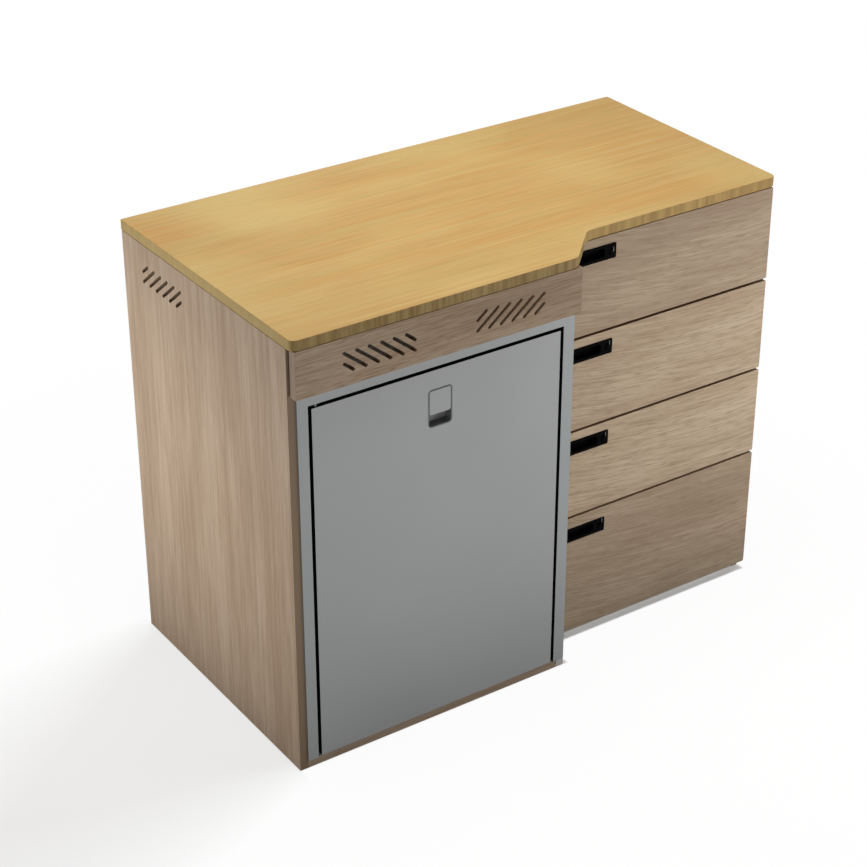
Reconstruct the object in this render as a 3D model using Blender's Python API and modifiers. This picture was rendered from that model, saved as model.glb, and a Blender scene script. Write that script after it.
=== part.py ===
# Campervan kitchen pod: a fridge bay on the left, four drawers on the right, one worktop over both.
# Metres, +Z up, +X along the length, +Y from the front to the back.
# The origin is on the floor under the middle of the whole pod.

import bpy
import bmesh
from math import atan2, cos, hypot, pi, radians, sin, tan
from mathutils import Matrix, Vector

# Driving dimensions of the whole pod
LENGTH = 1.008
DEPTH = 0.5413
HEIGHT = 0.7906

# Boards and general fits
BOARD = 0.015
WORKTOP_THICK = 0.018
FASCIA_THICK = 0.016
FRAME_THICK = 0.0022
FRONT_THICK = 0.016
DRAWER_BACK_THICK = 0.006
SEAT = 0.0003
OVERRUN = 0.002

# How the carcass stands under the worktop
FRAME_LAP_LEFT = 0.0005
FRAME_SHY_RIGHT = 0.0018
WORKTOP_SIDE_OVERHANG = 0.0035
WORKTOP_BACK_OVERHANG = 0.003
WORKTOP_SHY_OF_FASCIA = 0.0013
WORKTOP_OVER_FRONTS = 0.002
BAY_WIDTH = 0.5065
DRAWER_SETBACK = 0.0585
FRONT_BUFFER_GAP = 0.001

# Facets of round work
ARC_STEPS = 6
SLOT_STEPS = 5
PIN_SIDES = 16

# Planes that several pieces share
left_outer = -LENGTH / 2
left_inner = left_outer + BOARD
divider_left = left_inner + BAY_WIDTH
divider_right = divider_left + BOARD
right_outer = LENGTH / 2 - WORKTOP_SIDE_OVERHANG
right_inner = right_outer - BOARD
fascia_front = -DEPTH / 2
carcass_front = fascia_front + FASCIA_THICK + SEAT + FRAME_THICK + SEAT
carcass_back = DEPTH / 2 - WORKTOP_BACK_OVERHANG
worktop_bottom = HEIGHT - WORKTOP_THICK
panel_top = worktop_bottom - SEAT
frame_left = left_inner - FRAME_LAP_LEFT
frame_right = divider_right - FRAME_SHY_RIGHT
fridge_middle = (frame_left + frame_right) / 2
drawer_face = carcass_front + DRAWER_SETBACK
front_back = drawer_face + FRONT_THICK
drawer_carcass_front = front_back + FRONT_BUFFER_GAP

for old_object in list(bpy.data.objects):
    bpy.data.objects.remove(old_object, do_unlink=True)

pod = bpy.data.collections.new("campervan_kitchen_pod")
cutters = bpy.data.collections.new("cutters")
bpy.context.scene.collection.children.link(pod)
bpy.context.scene.collection.children.link(cutters)


def finish(name, colour, roughness, metallic=0.0):
    """Make one Principled material."""
    material = bpy.data.materials.new(name)
    material.use_nodes = True
    shader = material.node_tree.nodes["Principled BSDF"]
    shader.inputs["Base Color"].default_value = (*colour, 1.0)
    shader.inputs["Roughness"].default_value = roughness
    shader.inputs["Metallic"].default_value = metallic
    material.diffuse_color = (*colour, 1.0)
    return material


bamboo = finish("bamboo_worktop", (0.63, 0.41, 0.16), 0.45)
oak = finish("oak_veneer_ply", (0.36, 0.28, 0.21), 0.6)
birch = finish("birch_ply", (0.62, 0.50, 0.34), 0.6)
grey_laminate = finish("grey_laminate_ply", (0.52, 0.51, 0.49), 0.5)
door_grey = finish("painted_steel_grey", (0.27, 0.28, 0.28), 0.4)
liner_white = finish("white_polystyrene", (0.80, 0.81, 0.82), 0.35)
foam_cream = finish("polyurethane_foam", (0.78, 0.70, 0.50), 0.9)
seal_black = finish("seal_rubber", (0.03, 0.03, 0.03), 0.7)
pull_black = finish("black_abs", (0.01, 0.01, 0.01), 0.35)
housing_dark = finish("dark_grey_abs", (0.08, 0.08, 0.08), 0.5)
zinc = finish("zinc_plated_steel", (0.60, 0.61, 0.62), 0.35, 1.0)
aluminium = finish("aluminium_sheet", (0.75, 0.76, 0.77), 0.35, 1.0)
clear_plastic = finish("clear_polystyrene", (0.75, 0.80, 0.83), 0.15)
compressor_black = finish("black_enamel_steel", (0.015, 0.015, 0.015), 0.4)

joint_frames = {}


def joint_frame(name, place, parent=None):
    """Put an empty on a joint's axis; the moving pieces hang from it."""
    empty = bpy.data.objects.new(name + "_joint", None)
    empty.empty_display_size = BOARD
    pod.objects.link(empty)
    if parent is not None:
        empty.parent = joint_frames[parent][0]
        empty.location = Vector(place) - joint_frames[parent][1]
    else:
        empty.location = Vector(place)
    joint_frames[name] = (empty, Vector(place))


def settle(piece, material, body=None):
    """Give a piece its material and hang it from its joint frame."""
    piece.data.materials.clear()
    piece.data.materials.append(material)
    if body is not None:
        empty, place = joint_frames[body]
        piece.data.transform(Matrix.Translation(-place))
        piece.parent = empty
    return piece


def piece_from(name, mesh):
    """Link a mesh to the pod as one named piece."""
    mesh.name = name
    piece = bpy.data.objects.new(name, mesh)
    pod.objects.link(piece)
    return piece


def clean_mesh(mesh):
    """Weld loose caps, merge flat triangles and turn the faces outward."""
    form = bmesh.new()
    form.from_mesh(mesh)
    bmesh.ops.remove_doubles(form, verts=form.verts, dist=SEAT / 10)
    bmesh.ops.recalc_face_normals(form, faces=form.faces)
    form.to_mesh(mesh)
    form.free()
    return mesh


def baked(piece):
    """Replace a piece's mesh by what its modifiers make of it."""
    bpy.context.view_layer.update()
    graph = bpy.context.evaluated_depsgraph_get()
    mesh = bpy.data.meshes.new_from_object(piece.evaluated_get(graph))
    piece.modifiers.clear()
    piece.data = mesh
    piece.data.name = piece.name
    return piece


def box(name, low, high):
    """A rectangular piece between two corners."""
    form = bmesh.new()
    bmesh.ops.create_cube(form, size=1.0)
    low = Vector(low)
    high = Vector(high)
    bmesh.ops.scale(form, vec=high - low, verts=form.verts)
    bmesh.ops.translate(form, vec=(low + high) / 2, verts=form.verts)
    mesh = bpy.data.meshes.new(name)
    form.to_mesh(mesh)
    form.free()
    return piece_from(name, mesh)


quarter_x = Matrix.Rotation(radians(90), 4, "X")
quarter_z = Matrix.Rotation(radians(90), 4, "Z")
turned_to = {"z": Matrix.Identity(4), "y": quarter_x, "x": quarter_z @ quarter_x}


def plate(name, axis, start, end, outline, holes=()):
    """A flat piece: an outline with holes, drawn square to an axis and thick from start to end.

    The outline is in X and Y for axis z, in X and Z for axis y, and in Y and Z for axis x.
    """
    curve = bpy.data.curves.new(name, "CURVE")
    curve.dimensions = "2D"
    curve.fill_mode = "BOTH"
    curve.extrude = (end - start) / 2
    for ring in (outline, *holes):
        spline = curve.splines.new("POLY")
        spline.points.add(len(ring) - 1)
        for point, (across, up) in zip(spline.points, ring):
            point.co = (across, up, 0.0, 1.0)
        spline.use_cyclic_u = True
    flat = bpy.data.objects.new(name, curve)
    pod.objects.link(flat)
    bpy.context.view_layer.update()
    graph = bpy.context.evaluated_depsgraph_get()
    mesh = bpy.data.meshes.new_from_object(flat.evaluated_get(graph))
    bpy.data.objects.remove(flat, do_unlink=True)
    mesh.transform(turned_to[axis])
    shift = Vector((0.0, 0.0, 0.0))
    shift["xyz".index(axis)] = (start + end) / 2
    mesh.transform(Matrix.Translation(shift))
    return piece_from(name, clean_mesh(mesh))


def rod(name, axis, start, end, centre, radius, sides=PIN_SIDES):
    """A round bar along an axis; centre holds its two other coordinates in X, Y, Z order."""
    ring = [(centre[0] + radius * cos(2 * pi * step / sides), centre[1] + radius * sin(2 * pi * step / sides))
            for step in range(sides)]
    return plate(name, axis, start, end, ring)


def turned(name, axis, centre, profile, steps):
    """A turned piece: a profile of (radius, height) points run top to bottom and spun with a Screw."""
    mesh = bpy.data.meshes.new(name)
    corners = [(radius, 0.0, height) for radius, height in profile]
    mesh.from_pydata(corners, [(spot, spot + 1) for spot in range(len(corners) - 1)], [])
    piece = piece_from(name, mesh)
    screw = piece.modifiers.new("turn", "SCREW")
    screw.steps = steps
    screw.render_steps = steps
    screw.use_merge_vertices = True
    screw.merge_threshold = SEAT / 10
    baked(piece)
    piece.data.transform(turned_to[axis])
    piece.data.transform(Matrix.Translation(Vector(centre)))
    clean_mesh(piece.data)
    return piece


def tube(name, route, radius, resolution=1):
    """A bent tube along a list of points, with closed ends."""
    curve = bpy.data.curves.new(name, "CURVE")
    curve.dimensions = "3D"
    curve.bevel_depth = radius
    curve.bevel_resolution = resolution
    curve.use_fill_caps = True
    spline = curve.splines.new("POLY")
    spline.points.add(len(route) - 1)
    for point, place in zip(spline.points, route):
        point.co = (*place, 1.0)
    line = bpy.data.objects.new(name, curve)
    pod.objects.link(line)
    bpy.context.view_layer.update()
    graph = bpy.context.evaluated_depsgraph_get()
    mesh = bpy.data.meshes.new_from_object(line.evaluated_get(graph))
    bpy.data.objects.remove(line, do_unlink=True)
    return piece_from(name, clean_mesh(mesh))


def tub(name, low, high, wall, open_side):
    """A box shell with one open side, made by Solidify inward from its outer surface."""
    piece = box(name, low, high)
    return shelled(piece, wall, open_side)


def shelled(piece, wall, open_side, inward=True):
    """Take the faces that look along open_side off a solid and thicken the rest."""
    form = bmesh.new()
    form.from_mesh(piece.data)
    bmesh.ops.dissolve_limit(form, angle_limit=radians(1), verts=form.verts, edges=form.edges)
    form.normal_update()
    look = Vector(open_side)
    reach = max(vert.co.dot(look) for vert in form.verts)
    mouth = [face for face in form.faces
             if face.normal.dot(look) > 0.99 and abs(face.calc_center_median().dot(look) - reach) < SEAT]
    bmesh.ops.delete(form, geom=mouth, context="FACES")
    form.to_mesh(piece.data)
    form.free()
    skin = piece.modifiers.new("wall", "SOLIDIFY")
    skin.thickness = wall
    skin.offset = -1.0 if inward else 1.0
    skin.use_even_offset = True
    return baked(piece)


def combined(piece, others, operation):
    """Union or difference with other pieces, which are used up."""
    for other in others:
        modifier = piece.modifiers.new(operation.lower(), "BOOLEAN")
        modifier.operation = operation
        modifier.solver = "EXACT"
        modifier.object = other
    baked(piece)
    for other in others:
        bpy.data.objects.remove(other, do_unlink=True)
    clean_mesh(piece.data)
    return piece


def fused(piece, *others):
    """Join other solids to a piece."""
    return combined(piece, others, "UNION")


def cut(piece, *tools):
    """Cut a piece with tools that stay in the cutters collection."""
    for tool in tools:
        if tool.name in pod.objects:
            pod.objects.unlink(tool)
            cutters.objects.link(tool)
        tool.hide_render = True
        tool.display_type = "WIRE"
        modifier = piece.modifiers.new("cut", "BOOLEAN")
        modifier.operation = "DIFFERENCE"
        modifier.solver = "EXACT"
        modifier.object = tool
    baked(piece)
    clean_mesh(piece.data)
    return piece


def grouped(name, solids):
    """Keep several separate solids in one named node."""
    form = bmesh.new()
    for solid in solids:
        form.from_mesh(solid.data)
        bpy.data.objects.remove(solid, do_unlink=True)
    mesh = bpy.data.meshes.new(name)
    form.to_mesh(mesh)
    form.free()
    return piece_from(name, mesh)


def rectangle(low_across, low_up, high_across, high_up):
    """The corners of an upright rectangle."""
    return [(low_across, low_up), (high_across, low_up), (high_across, high_up), (low_across, high_up)]


def rounded(corners, radii, steps=ARC_STEPS):
    """Round each corner of a closed outline with an arc of its own radius."""
    if not isinstance(radii, (list, tuple)):
        radii = [radii] * len(corners)
    ring = []
    for spot, (corner, radius) in enumerate(zip(corners, radii)):
        here = Vector(corner)
        if radius <= 0:
            ring.append((here.x, here.y))
            continue
        back = (Vector(corners[spot - 1]) - here).normalized()
        ahead = (Vector(corners[(spot + 1) % len(corners)]) - here).normalized()
        half = back.angle(ahead) / 2
        middle = here + (back + ahead).normalized() * (radius / sin(half))
        first = here + back * (radius / tan(half)) - middle
        last = here + ahead * (radius / tan(half)) - middle
        start_turn = atan2(first.y, first.x)
        sweep = (atan2(last.y, last.x) - start_turn + pi) % (2 * pi) - pi
        for step in range(steps + 1):
            turn = start_turn + sweep * step / steps
            ring.append((middle.x + radius * cos(turn), middle.y + radius * sin(turn)))
    return ring


def slot(start, end, radius, steps=SLOT_STEPS):
    """A slot with round ends between two centres."""
    turn = atan2(end[1] - start[1], end[0] - start[0])
    ring = []
    for centre, first in ((end, turn - pi / 2), (start, turn + pi / 2)):
        for step in range(steps + 1):
            angle = first + pi * step / steps
            ring.append((centre[0] + radius * cos(angle), centre[1] + radius * sin(angle)))
    return ring


# Worktop: one board, deeper over the fridge, with a 45 degree jog
WORKTOP_CORNER = 0.012
WORKTOP_BACK_CORNER = 0.002
JOG_BEFORE_DIVIDER = 0.0103
JOG_OUTER_RADIUS = 0.025
JOG_INNER_RADIUS = 0.025

worktop_front = fascia_front + WORKTOP_SHY_OF_FASCIA
worktop_drawer_edge = drawer_face - WORKTOP_OVER_FRONTS
jog_left = divider_right - JOG_BEFORE_DIVIDER
jog_right = jog_left + worktop_drawer_edge - worktop_front
worktop_outline = rounded(
    [(left_outer, worktop_front), (jog_left, worktop_front), (jog_right, worktop_drawer_edge),
     (LENGTH / 2, worktop_drawer_edge), (LENGTH / 2, DEPTH / 2), (left_outer, DEPTH / 2)],
    [WORKTOP_CORNER, JOG_OUTER_RADIUS, JOG_INNER_RADIUS, WORKTOP_CORNER, WORKTOP_BACK_CORNER,
     WORKTOP_BACK_CORNER])
settle(plate("worktop", "z", worktop_bottom, HEIGHT, worktop_outline), bamboo)

# Vent slots: a rectangle filled with slanted slots, the outer two cut short by its ends
VENT_LENGTH = 0.1326
VENT_HEIGHT = 0.0364
VENT_PITCH = 0.0222
VENT_RUN = 0.0439
VENT_HALF_WIDTH = 0.0028
VENT_SLOTS = 7


def vent_slots(near_end, low, direction):
    """Slots that climb along direction (+1 or -1) from near_end at the bottom edge low."""
    slots = []
    length = VENT_LENGTH - 2 * VENT_HALF_WIDTH
    rise = VENT_HEIGHT - 2 * VENT_HALF_WIDTH
    run = VENT_RUN - 2 * VENT_HALF_WIDTH
    for number in range(VENT_SLOTS):
        foot = (number - 1) * VENT_PITCH
        first_share = max(0.0, -foot / run)
        last_share = min(1.0, (length - foot) / run)
        ends = []
        for share in (first_share, last_share):
            across = near_end + direction * (VENT_HALF_WIDTH + foot + run * share)
            ends.append((across, low + VENT_HALF_WIDTH + rise * share))
        slots.append(slot(ends[0], ends[1], VENT_HALF_WIDTH))
    return slots


# Upright panels
SIDE_VENT_FROM_BACK = 0.0655
SIDE_VENT_BELOW_TOP = 0.0330

side_vent_low = panel_top - SIDE_VENT_BELOW_TOP - VENT_HEIGHT
side_vents = vent_slots(carcass_back - SIDE_VENT_FROM_BACK, side_vent_low, -1)
settle(plate("left_side_panel", "x", left_outer, left_inner,
             rectangle(carcass_front, 0, carcass_back, panel_top), side_vents), oak)
divider = box("divider_panel", (divider_left, carcass_front, 0), (divider_right, carcass_back, panel_top))
right_side = box("right_side_panel", (right_inner, drawer_carcass_front, 0),
                 (right_outer, carcass_back, panel_top))

# Boards between the panels
RAIL_WIDTH = 0.060
REAR_RAIL_WIDTH = 0.080

settle(box("fridge_base_board", (left_inner + SEAT, carcass_front, 0),
           (divider_left - SEAT, carcass_back, BOARD)), oak)
settle(box("drawer_base_board", (divider_right + SEAT, drawer_carcass_front, 0),
           (right_inner - SEAT, carcass_back, BOARD)), grey_laminate)
settle(box("drawer_back_panel", (divider_right + SEAT, carcass_back - DRAWER_BACK_THICK, BOARD + SEAT),
           (right_inner - SEAT, carcass_back, panel_top)), birch)
# The bay's rear rail lies flat under the worktop, so that the warm air leaves over the fridge
settle(box("bay_rear_rail", (left_inner + SEAT, carcass_back - REAR_RAIL_WIDTH, panel_top - BOARD),
           (divider_left - SEAT, carcass_back, panel_top)), birch)

# Vent fascia over the fridge, screwed on in front of the flush frame's head
FASCIA_HEIGHT = 0.0802
FASCIA_SHY_LEFT = 0.0041
FASCIA_SHY_RIGHT = 0.0020
FASCIA_VENT_BELOW_TOP = 0.0223
FASCIA_VENT_SPREAD = 0.1215

fascia_bottom = panel_top - FASCIA_HEIGHT
fascia_vent_low = panel_top - FASCIA_VENT_BELOW_TOP - VENT_HEIGHT
left_vent_end = fridge_middle - FASCIA_VENT_SPREAD + VENT_LENGTH / 2
right_vent_start = fridge_middle + FASCIA_VENT_SPREAD - VENT_LENGTH / 2
fascia_vents = (vent_slots(left_vent_end, fascia_vent_low, -1)
                + vent_slots(right_vent_start, fascia_vent_low, 1))
settle(plate("vent_fascia", "y", fascia_front, fascia_front + FASCIA_THICK,
             rectangle(left_outer + FASCIA_SHY_LEFT, fascia_bottom, divider_right - FASCIA_SHY_RIGHT,
                       panel_top), fascia_vents), oak)

# Drawer fronts, from the top down: the tops of fronts 2 to 4 follow the gaps
FRONT_GAP = 0.0044
FRONT_LEFT_GAP = 0.0025
FRONT_CORNER = 0.003
FRONT_TOP_GAP = 0.002
FRONTS_BOTTOM = 0.0164
GAP_SHARES = (0.771, 0.539, 0.3140)

front_left = divider_right + FRONT_LEFT_GAP
front_right = right_outer
fronts_top = worktop_bottom - FRONT_TOP_GAP
gap_heights = [FRONTS_BOTTOM + share * (fronts_top - FRONTS_BOTTOM) for share in GAP_SHARES]
front_tops = [fronts_top] + [height - FRONT_GAP / 2 for height in gap_heights]
front_bottoms = [height + FRONT_GAP / 2 for height in gap_heights] + [FRONTS_BOTTOM]
rail_tops = [panel_top] + [height + BOARD / 2 for height in gap_heights]

# Black pulls with a finger cup and a lock slide
PULL_LENGTH = 0.086
PULL_HEIGHT = 0.027
PULL_FROM_FRONT_LEFT = 0.038
PULL_THICK = 0.0015
PULL_CORNER = 0.0025
PULL_BELOW_TOP = 0.0155
LOWEST_PULL_BELOW_TOP = 0.0204
PULL_HOLE_MARGIN = 0.004
CUP_LENGTH = 0.054
CUP_HEIGHT = 0.0165
CUP_FROM_LEFT = 0.008
CUP_DEPTH = 0.0138
CUP_WALL = 0.0012
CUP_CORNER = 0.004
LOCK_FROM_RIGHT = 0.0097
LOCK_TRAVEL = 0.006
LOCK_REST_DROP = 0.002
LOCK_NECK = 0.0050
LOCK_SLOT_CLEARANCE = 0.0004
BUTTON_WIDTH = 0.0070
BUTTON_HEIGHT = 0.0095
BUTTON_THICK = 0.0015
BUTTON_CORNER = 0.0025
SHOULDER_WIDTH = 0.0075
SHOULDER_THICK = 0.0015
BOLT_WIDTH = 0.008
BOLT_THICK = 0.003
BOLT_BEHIND_FRONT = 0.0095
BOLT_BELOW_RAIL = 0.002
MORTISE_CLEARANCE = 0.0015

pull_left = front_left + PULL_FROM_FRONT_LEFT
pull_right = pull_left + PULL_LENGTH
pull_back = drawer_face - SEAT
pull_front = pull_back - PULL_THICK
cup_left = pull_left + CUP_FROM_LEFT
cup_right = cup_left + CUP_LENGTH
lock_middle = pull_right - LOCK_FROM_RIGHT
bolt_near = front_back + BOLT_BEHIND_FRONT
bolt_far = bolt_near + BOLT_THICK

# Cross rails between the drawers, each with a mortise that takes the lock bolt of the drawer below it
mortise = rectangle(lock_middle - BOLT_WIDTH / 2 - MORTISE_CLEARANCE, bolt_near - MORTISE_CLEARANCE,
                    lock_middle + BOLT_WIDTH / 2 + MORTISE_CLEARANCE, bolt_far + MORTISE_CLEARANCE)
for number, rail_top in enumerate(rail_tops):
    rail = plate("cross_rail_%d" % (number + 1), "z", rail_top - BOARD, rail_top,
                 rectangle(divider_right + SEAT, drawer_carcass_front, right_inner - SEAT,
                           drawer_carcass_front + RAIL_WIDTH), [mortise])
    settle(rail, birch)

# Drawer boxes and their telescopic runners
RUNNER_HEIGHT = 0.045
RUNNER_SPACE = 0.0127
RUNNER_WALL = 0.0012
RUNNER_PLAY = 0.0004
RUNNER_SETBACK = 0.0025
RUNNER_REACH = 0.0095
RUNNER_ABOVE_BOX = 0.040
BOX_WALL = 0.012
BOX_GROOVE = 0.005
BOX_BACK_IN = 0.006
BOX_BACK_DROP = 0.010
BOX_BEYOND_RUNNER = 0.002
BOX_REAR_GAP = 0.034
BOX_BOTTOM_THICK = 0.006
BOX_BOTTOM_UP = 0.008
BOX_CLEARANCE = 0.006

box_left = divider_right + RUNNER_SPACE
box_right = right_inner - RUNNER_SPACE
runner_near = drawer_carcass_front + RUNNER_SETBACK
box_front = front_back + SEAT
box_back = carcass_back - DRAWER_BACK_THICK - BOX_REAR_GAP
runner_far = box_back - BOX_BEYOND_RUNNER
box_tops = [rail_top - BOARD - BOX_CLEARANCE for rail_top in rail_tops]
box_bottoms = [rail_top + BOX_CLEARANCE for rail_top in rail_tops[1:]] + [BOARD + BOX_CLEARANCE]


def channel(name, web, tip, wall, half_height, middle):
    """A runner member: a channel from its web plane to its lip tips; wall is signed like tip minus web."""
    low = middle - half_height
    high = middle + half_height
    outline = [(web, low), (tip, low), (tip, low + RUNNER_WALL), (web + wall, low + RUNNER_WALL),
               (web + wall, high - RUNNER_WALL), (tip, high - RUNNER_WALL), (tip, high), (web, high)]
    return plate(name, "y", runner_near, runner_far, outline)


RUNNER_STEP = RUNNER_WALL + RUNNER_PLAY


def outer_member(panel_face, side, middle):
    """The member on the panel, let a little into it so that the two are one solid."""
    return channel("outer_member", panel_face - side * SEAT, panel_face + side * RUNNER_REACH,
                   side * (RUNNER_WALL + SEAT), RUNNER_HEIGHT / 2, middle)


def middle_member(name, panel_face, side, middle):
    """The sliding member between the other two."""
    web = panel_face + side * RUNNER_STEP
    return channel(name, web, web + side * RUNNER_REACH, side * RUNNER_WALL, RUNNER_HEIGHT / 2 - RUNNER_STEP,
                   middle)


def inner_member(panel_face, side, middle):
    """The member on the drawer box, let a little into it so that the two are one solid."""
    web = panel_face + side * (RUNNER_SPACE + SEAT)
    return channel("inner_member", web, panel_face + side * 2 * RUNNER_STEP, -side * (RUNNER_WALL + SEAT),
                   RUNNER_HEIGHT / 2 - 2 * RUNNER_STEP, middle)


def drawer_pull(name, low, high):
    """The black plate with its finger cup behind and its lock slot at the right."""
    middle = (low + high) / 2
    cup_low = middle - CUP_HEIGHT / 2
    cup_high = middle + CUP_HEIGHT / 2
    mouth = rounded(rectangle(cup_left, cup_low, cup_right, cup_high), CUP_CORNER)
    cup_ring = rounded(rectangle(cup_left - CUP_WALL, cup_low - CUP_WALL, cup_right + CUP_WALL,
                                  cup_high + CUP_WALL), CUP_CORNER + CUP_WALL)
    half_slot = LOCK_NECK / 2 + LOCK_SLOT_CLEARANCE
    slot_low = (lock_middle, middle - LOCK_REST_DROP)
    slot_high = (lock_middle, middle - LOCK_REST_DROP + LOCK_TRAVEL)
    lock_slot = slot(slot_low, slot_high, half_slot)
    face = plate(name, "y", pull_front, pull_back,
                 rounded(rectangle(pull_left, low, pull_right, high), PULL_CORNER), [lock_slot])
    cup = plate("cup", "y", pull_back - PULL_THICK / 2, pull_front + CUP_DEPTH + CUP_WALL, cup_ring)
    cup_room = plate("cup_room", "y", pull_front - OVERRUN, pull_front + CUP_DEPTH, mouth)
    return cut(fused(face, cup), cup_room)


def lock_slide(name, middle, rail_underside):
    """Button, neck, shoulder, arm and bolt of one drawer's lock, in its lower, open position."""
    centre = middle - LOCK_REST_DROP
    button_back = pull_front - SEAT
    shoulder_front = pull_back + SEAT
    button = plate(name, "y", button_back - BUTTON_THICK, button_back,
                   rounded(rectangle(lock_middle - BUTTON_WIDTH / 2, centre - BUTTON_HEIGHT / 2,
                                     lock_middle + BUTTON_WIDTH / 2, centre + BUTTON_HEIGHT / 2), BUTTON_CORNER))
    neck = rod("neck", "y", button_back - BUTTON_THICK / 2, bolt_far - BOLT_THICK / 2, (lock_middle, centre),
               LOCK_NECK / 2)
    shoulder = box("shoulder", (lock_middle - SHOULDER_WIDTH / 2, shoulder_front, centre - BUTTON_HEIGHT / 2),
                   (lock_middle + SHOULDER_WIDTH / 2, shoulder_front + SHOULDER_THICK,
                    centre + BUTTON_HEIGHT / 2))
    bolt = box("bolt", (lock_middle - BOLT_WIDTH / 2, bolt_near, centre - BUTTON_HEIGHT / 2),
               (lock_middle + BOLT_WIDTH / 2, bolt_far, rail_underside - BOLT_BELOW_RAIL))
    return fused(button, neck, shoulder, bolt)


divider_members = []
right_members = []
for number in range(len(front_tops)):
    label = "drawer_%d" % (number + 1)
    low = box_bottoms[number]
    high = box_tops[number]
    runner_middle = low + RUNNER_ABOVE_BOX
    drawer_middle = (front_left + front_right) / 2
    below_top = LOWEST_PULL_BELOW_TOP if number == len(front_tops) - 1 else PULL_BELOW_TOP
    pull_high = front_tops[number] - below_top
    pull_low = pull_high - PULL_HEIGHT
    pull_middle = (pull_low + pull_high) / 2
    joint_frame(label, (drawer_middle, drawer_face, (front_tops[number] + front_bottoms[number]) / 2))
    joint_frame(label + "_runners", (drawer_middle, runner_near, runner_middle))
    joint_frame(label + "_lock", (lock_middle, pull_front, pull_middle - LOCK_REST_DROP), label)

    hole = rectangle(pull_left + PULL_HOLE_MARGIN, pull_low + PULL_HOLE_MARGIN,
                     pull_right - PULL_HOLE_MARGIN, pull_high - PULL_HOLE_MARGIN)
    front = plate(label + "_front", "y", drawer_face, front_back,
                  rounded(rectangle(front_left, front_bottoms[number], front_right, front_tops[number]),
                          FRONT_CORNER), [hole])
    settle(front, oak, label)
    settle(drawer_pull(label + "_pull", pull_low, pull_high), pull_black, label)
    settle(lock_slide(label + "_lock_slide", pull_middle, rail_tops[number] - BOARD), zinc, label + "_lock")

    inside_left = box_left + BOX_WALL - BOX_GROOVE
    inside_right = box_right - BOX_WALL + BOX_GROOVE
    drawer_box = box(label + "_box", (box_left, box_front, low), (box_left + BOX_WALL, box_back, high))
    right_board = box("side", (box_right - BOX_WALL, box_front, low), (box_right, box_back, high))
    back_board = box("back", (inside_left, box_back - BOX_WALL - BOX_BACK_IN, low + BOX_BOTTOM_UP),
                     (inside_right, box_back - BOX_BACK_IN, high - BOX_BACK_DROP))
    floor_board = box("bottom", (inside_left, box_front, low + BOX_BOTTOM_UP),
                      (inside_right, box_back - BOX_BACK_IN - BOX_GROOVE,
                       low + BOX_BOTTOM_UP + BOX_BOTTOM_THICK))
    fused(drawer_box, right_board, back_board, floor_board, inner_member(divider_right, 1, runner_middle),
          inner_member(right_inner, -1, runner_middle))
    settle(drawer_box, birch, label)

    divider_members.append(outer_member(divider_right, 1, runner_middle))
    right_members.append(outer_member(right_inner, -1, runner_middle))
    settle(middle_member(label + "_runner_left", divider_right, 1, runner_middle), zinc, label + "_runners")
    settle(middle_member(label + "_runner_right", right_inner, -1, runner_middle), zinc, label + "_runners")
settle(fused(divider, *divider_members), grey_laminate)
settle(fused(right_side, *right_members), oak)

# Fridge: flush frame with its hinge lugs and pins
FRAME_LEG_LEFT = 0.0193
FRAME_LEG_RIGHT = 0.0215
FRAME_HEAD = 0.0244
FRAME_BEHIND_FASCIA = 0.0149
FRAME_RETURN_THICK = 0.002
DOOR_GAP = 0.0062
DOOR_BOTTOM_GAP = 0.0015
DOOR_SKIN = 0.0012
DOOR_SKIN_DEPTH = 0.036
DOOR_LINER_THICK = 0.002
DOOR_LINER_INSET = 0.0018
SEAL_THICK = 0.0104
SEAL_WIDTH = 0.014
SEAL_INSET = 0.010
SEAL_CORNER = 0.006
HINGE_INSET = 0.010
HINGE_BEHIND_FACE = 0.007
HINGE_PIN_RADIUS = 0.003
HINGE_PIN_LENGTH = 0.015
HINGE_PIN_PLAY = 0.0003
HINGE_PLATE_WIDTH = 0.016
HINGE_TOP_THICK = 0.003
HINGE_LOW_THICK = 0.0008

frame_back = carcass_front - SEAT
door_face = frame_back - FRAME_THICK
opening_left = frame_left + FRAME_LEG_LEFT
opening_right = frame_right - FRAME_LEG_RIGHT
opening_top = fascia_bottom - FRAME_HEAD
door_left = opening_left + DOOR_GAP
door_right = opening_right - DOOR_GAP
door_low = BOARD + DOOR_BOTTOM_GAP
door_high = opening_top - DOOR_GAP
skin_back = door_face + DOOR_SKIN_DEPTH
liner_plate_back = skin_back + SEAT + DOOR_LINER_THICK
cabinet_front = liner_plate_back + SEAT + SEAL_THICK + SEAT
frame_bottom = BOARD + SEAT


def inverted_u(outer_left, outer_right, outer_top, inner_left, inner_right, inner_top, bottom):
    """The outline of a frame with two legs and a head."""
    return [(outer_left, bottom), (inner_left, bottom), (inner_left, inner_top), (inner_right, inner_top),
            (inner_right, bottom), (outer_right, bottom), (outer_right, outer_top), (outer_left, outer_top)]


flange = plate("fridge_flush_frame", "y", door_face, frame_back,
               inverted_u(frame_left, frame_right, fascia_bottom + FRAME_BEHIND_FASCIA,
                          opening_left, opening_right, opening_top, frame_bottom))
frame_return = plate("frame_return", "y", door_face + FRAME_THICK / 2, cabinet_front - SEAT,
                     inverted_u(opening_left - FRAME_RETURN_THICK, opening_right + FRAME_RETURN_THICK,
                                opening_top + FRAME_RETURN_THICK, opening_left, opening_right,
                                opening_top, frame_bottom))
hinge_x = door_left + HINGE_INSET
hinge_y = door_face + HINGE_BEHIND_FACE
upper_lug = box("upper_lug", (hinge_x - HINGE_PLATE_WIDTH / 2, hinge_y - HINGE_PIN_RADIUS,
                              opening_top - HINGE_TOP_THICK),
                (hinge_x + HINGE_PLATE_WIDTH / 2, cabinet_front - SEAT,
                 opening_top + FRAME_RETURN_THICK / 2))
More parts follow.
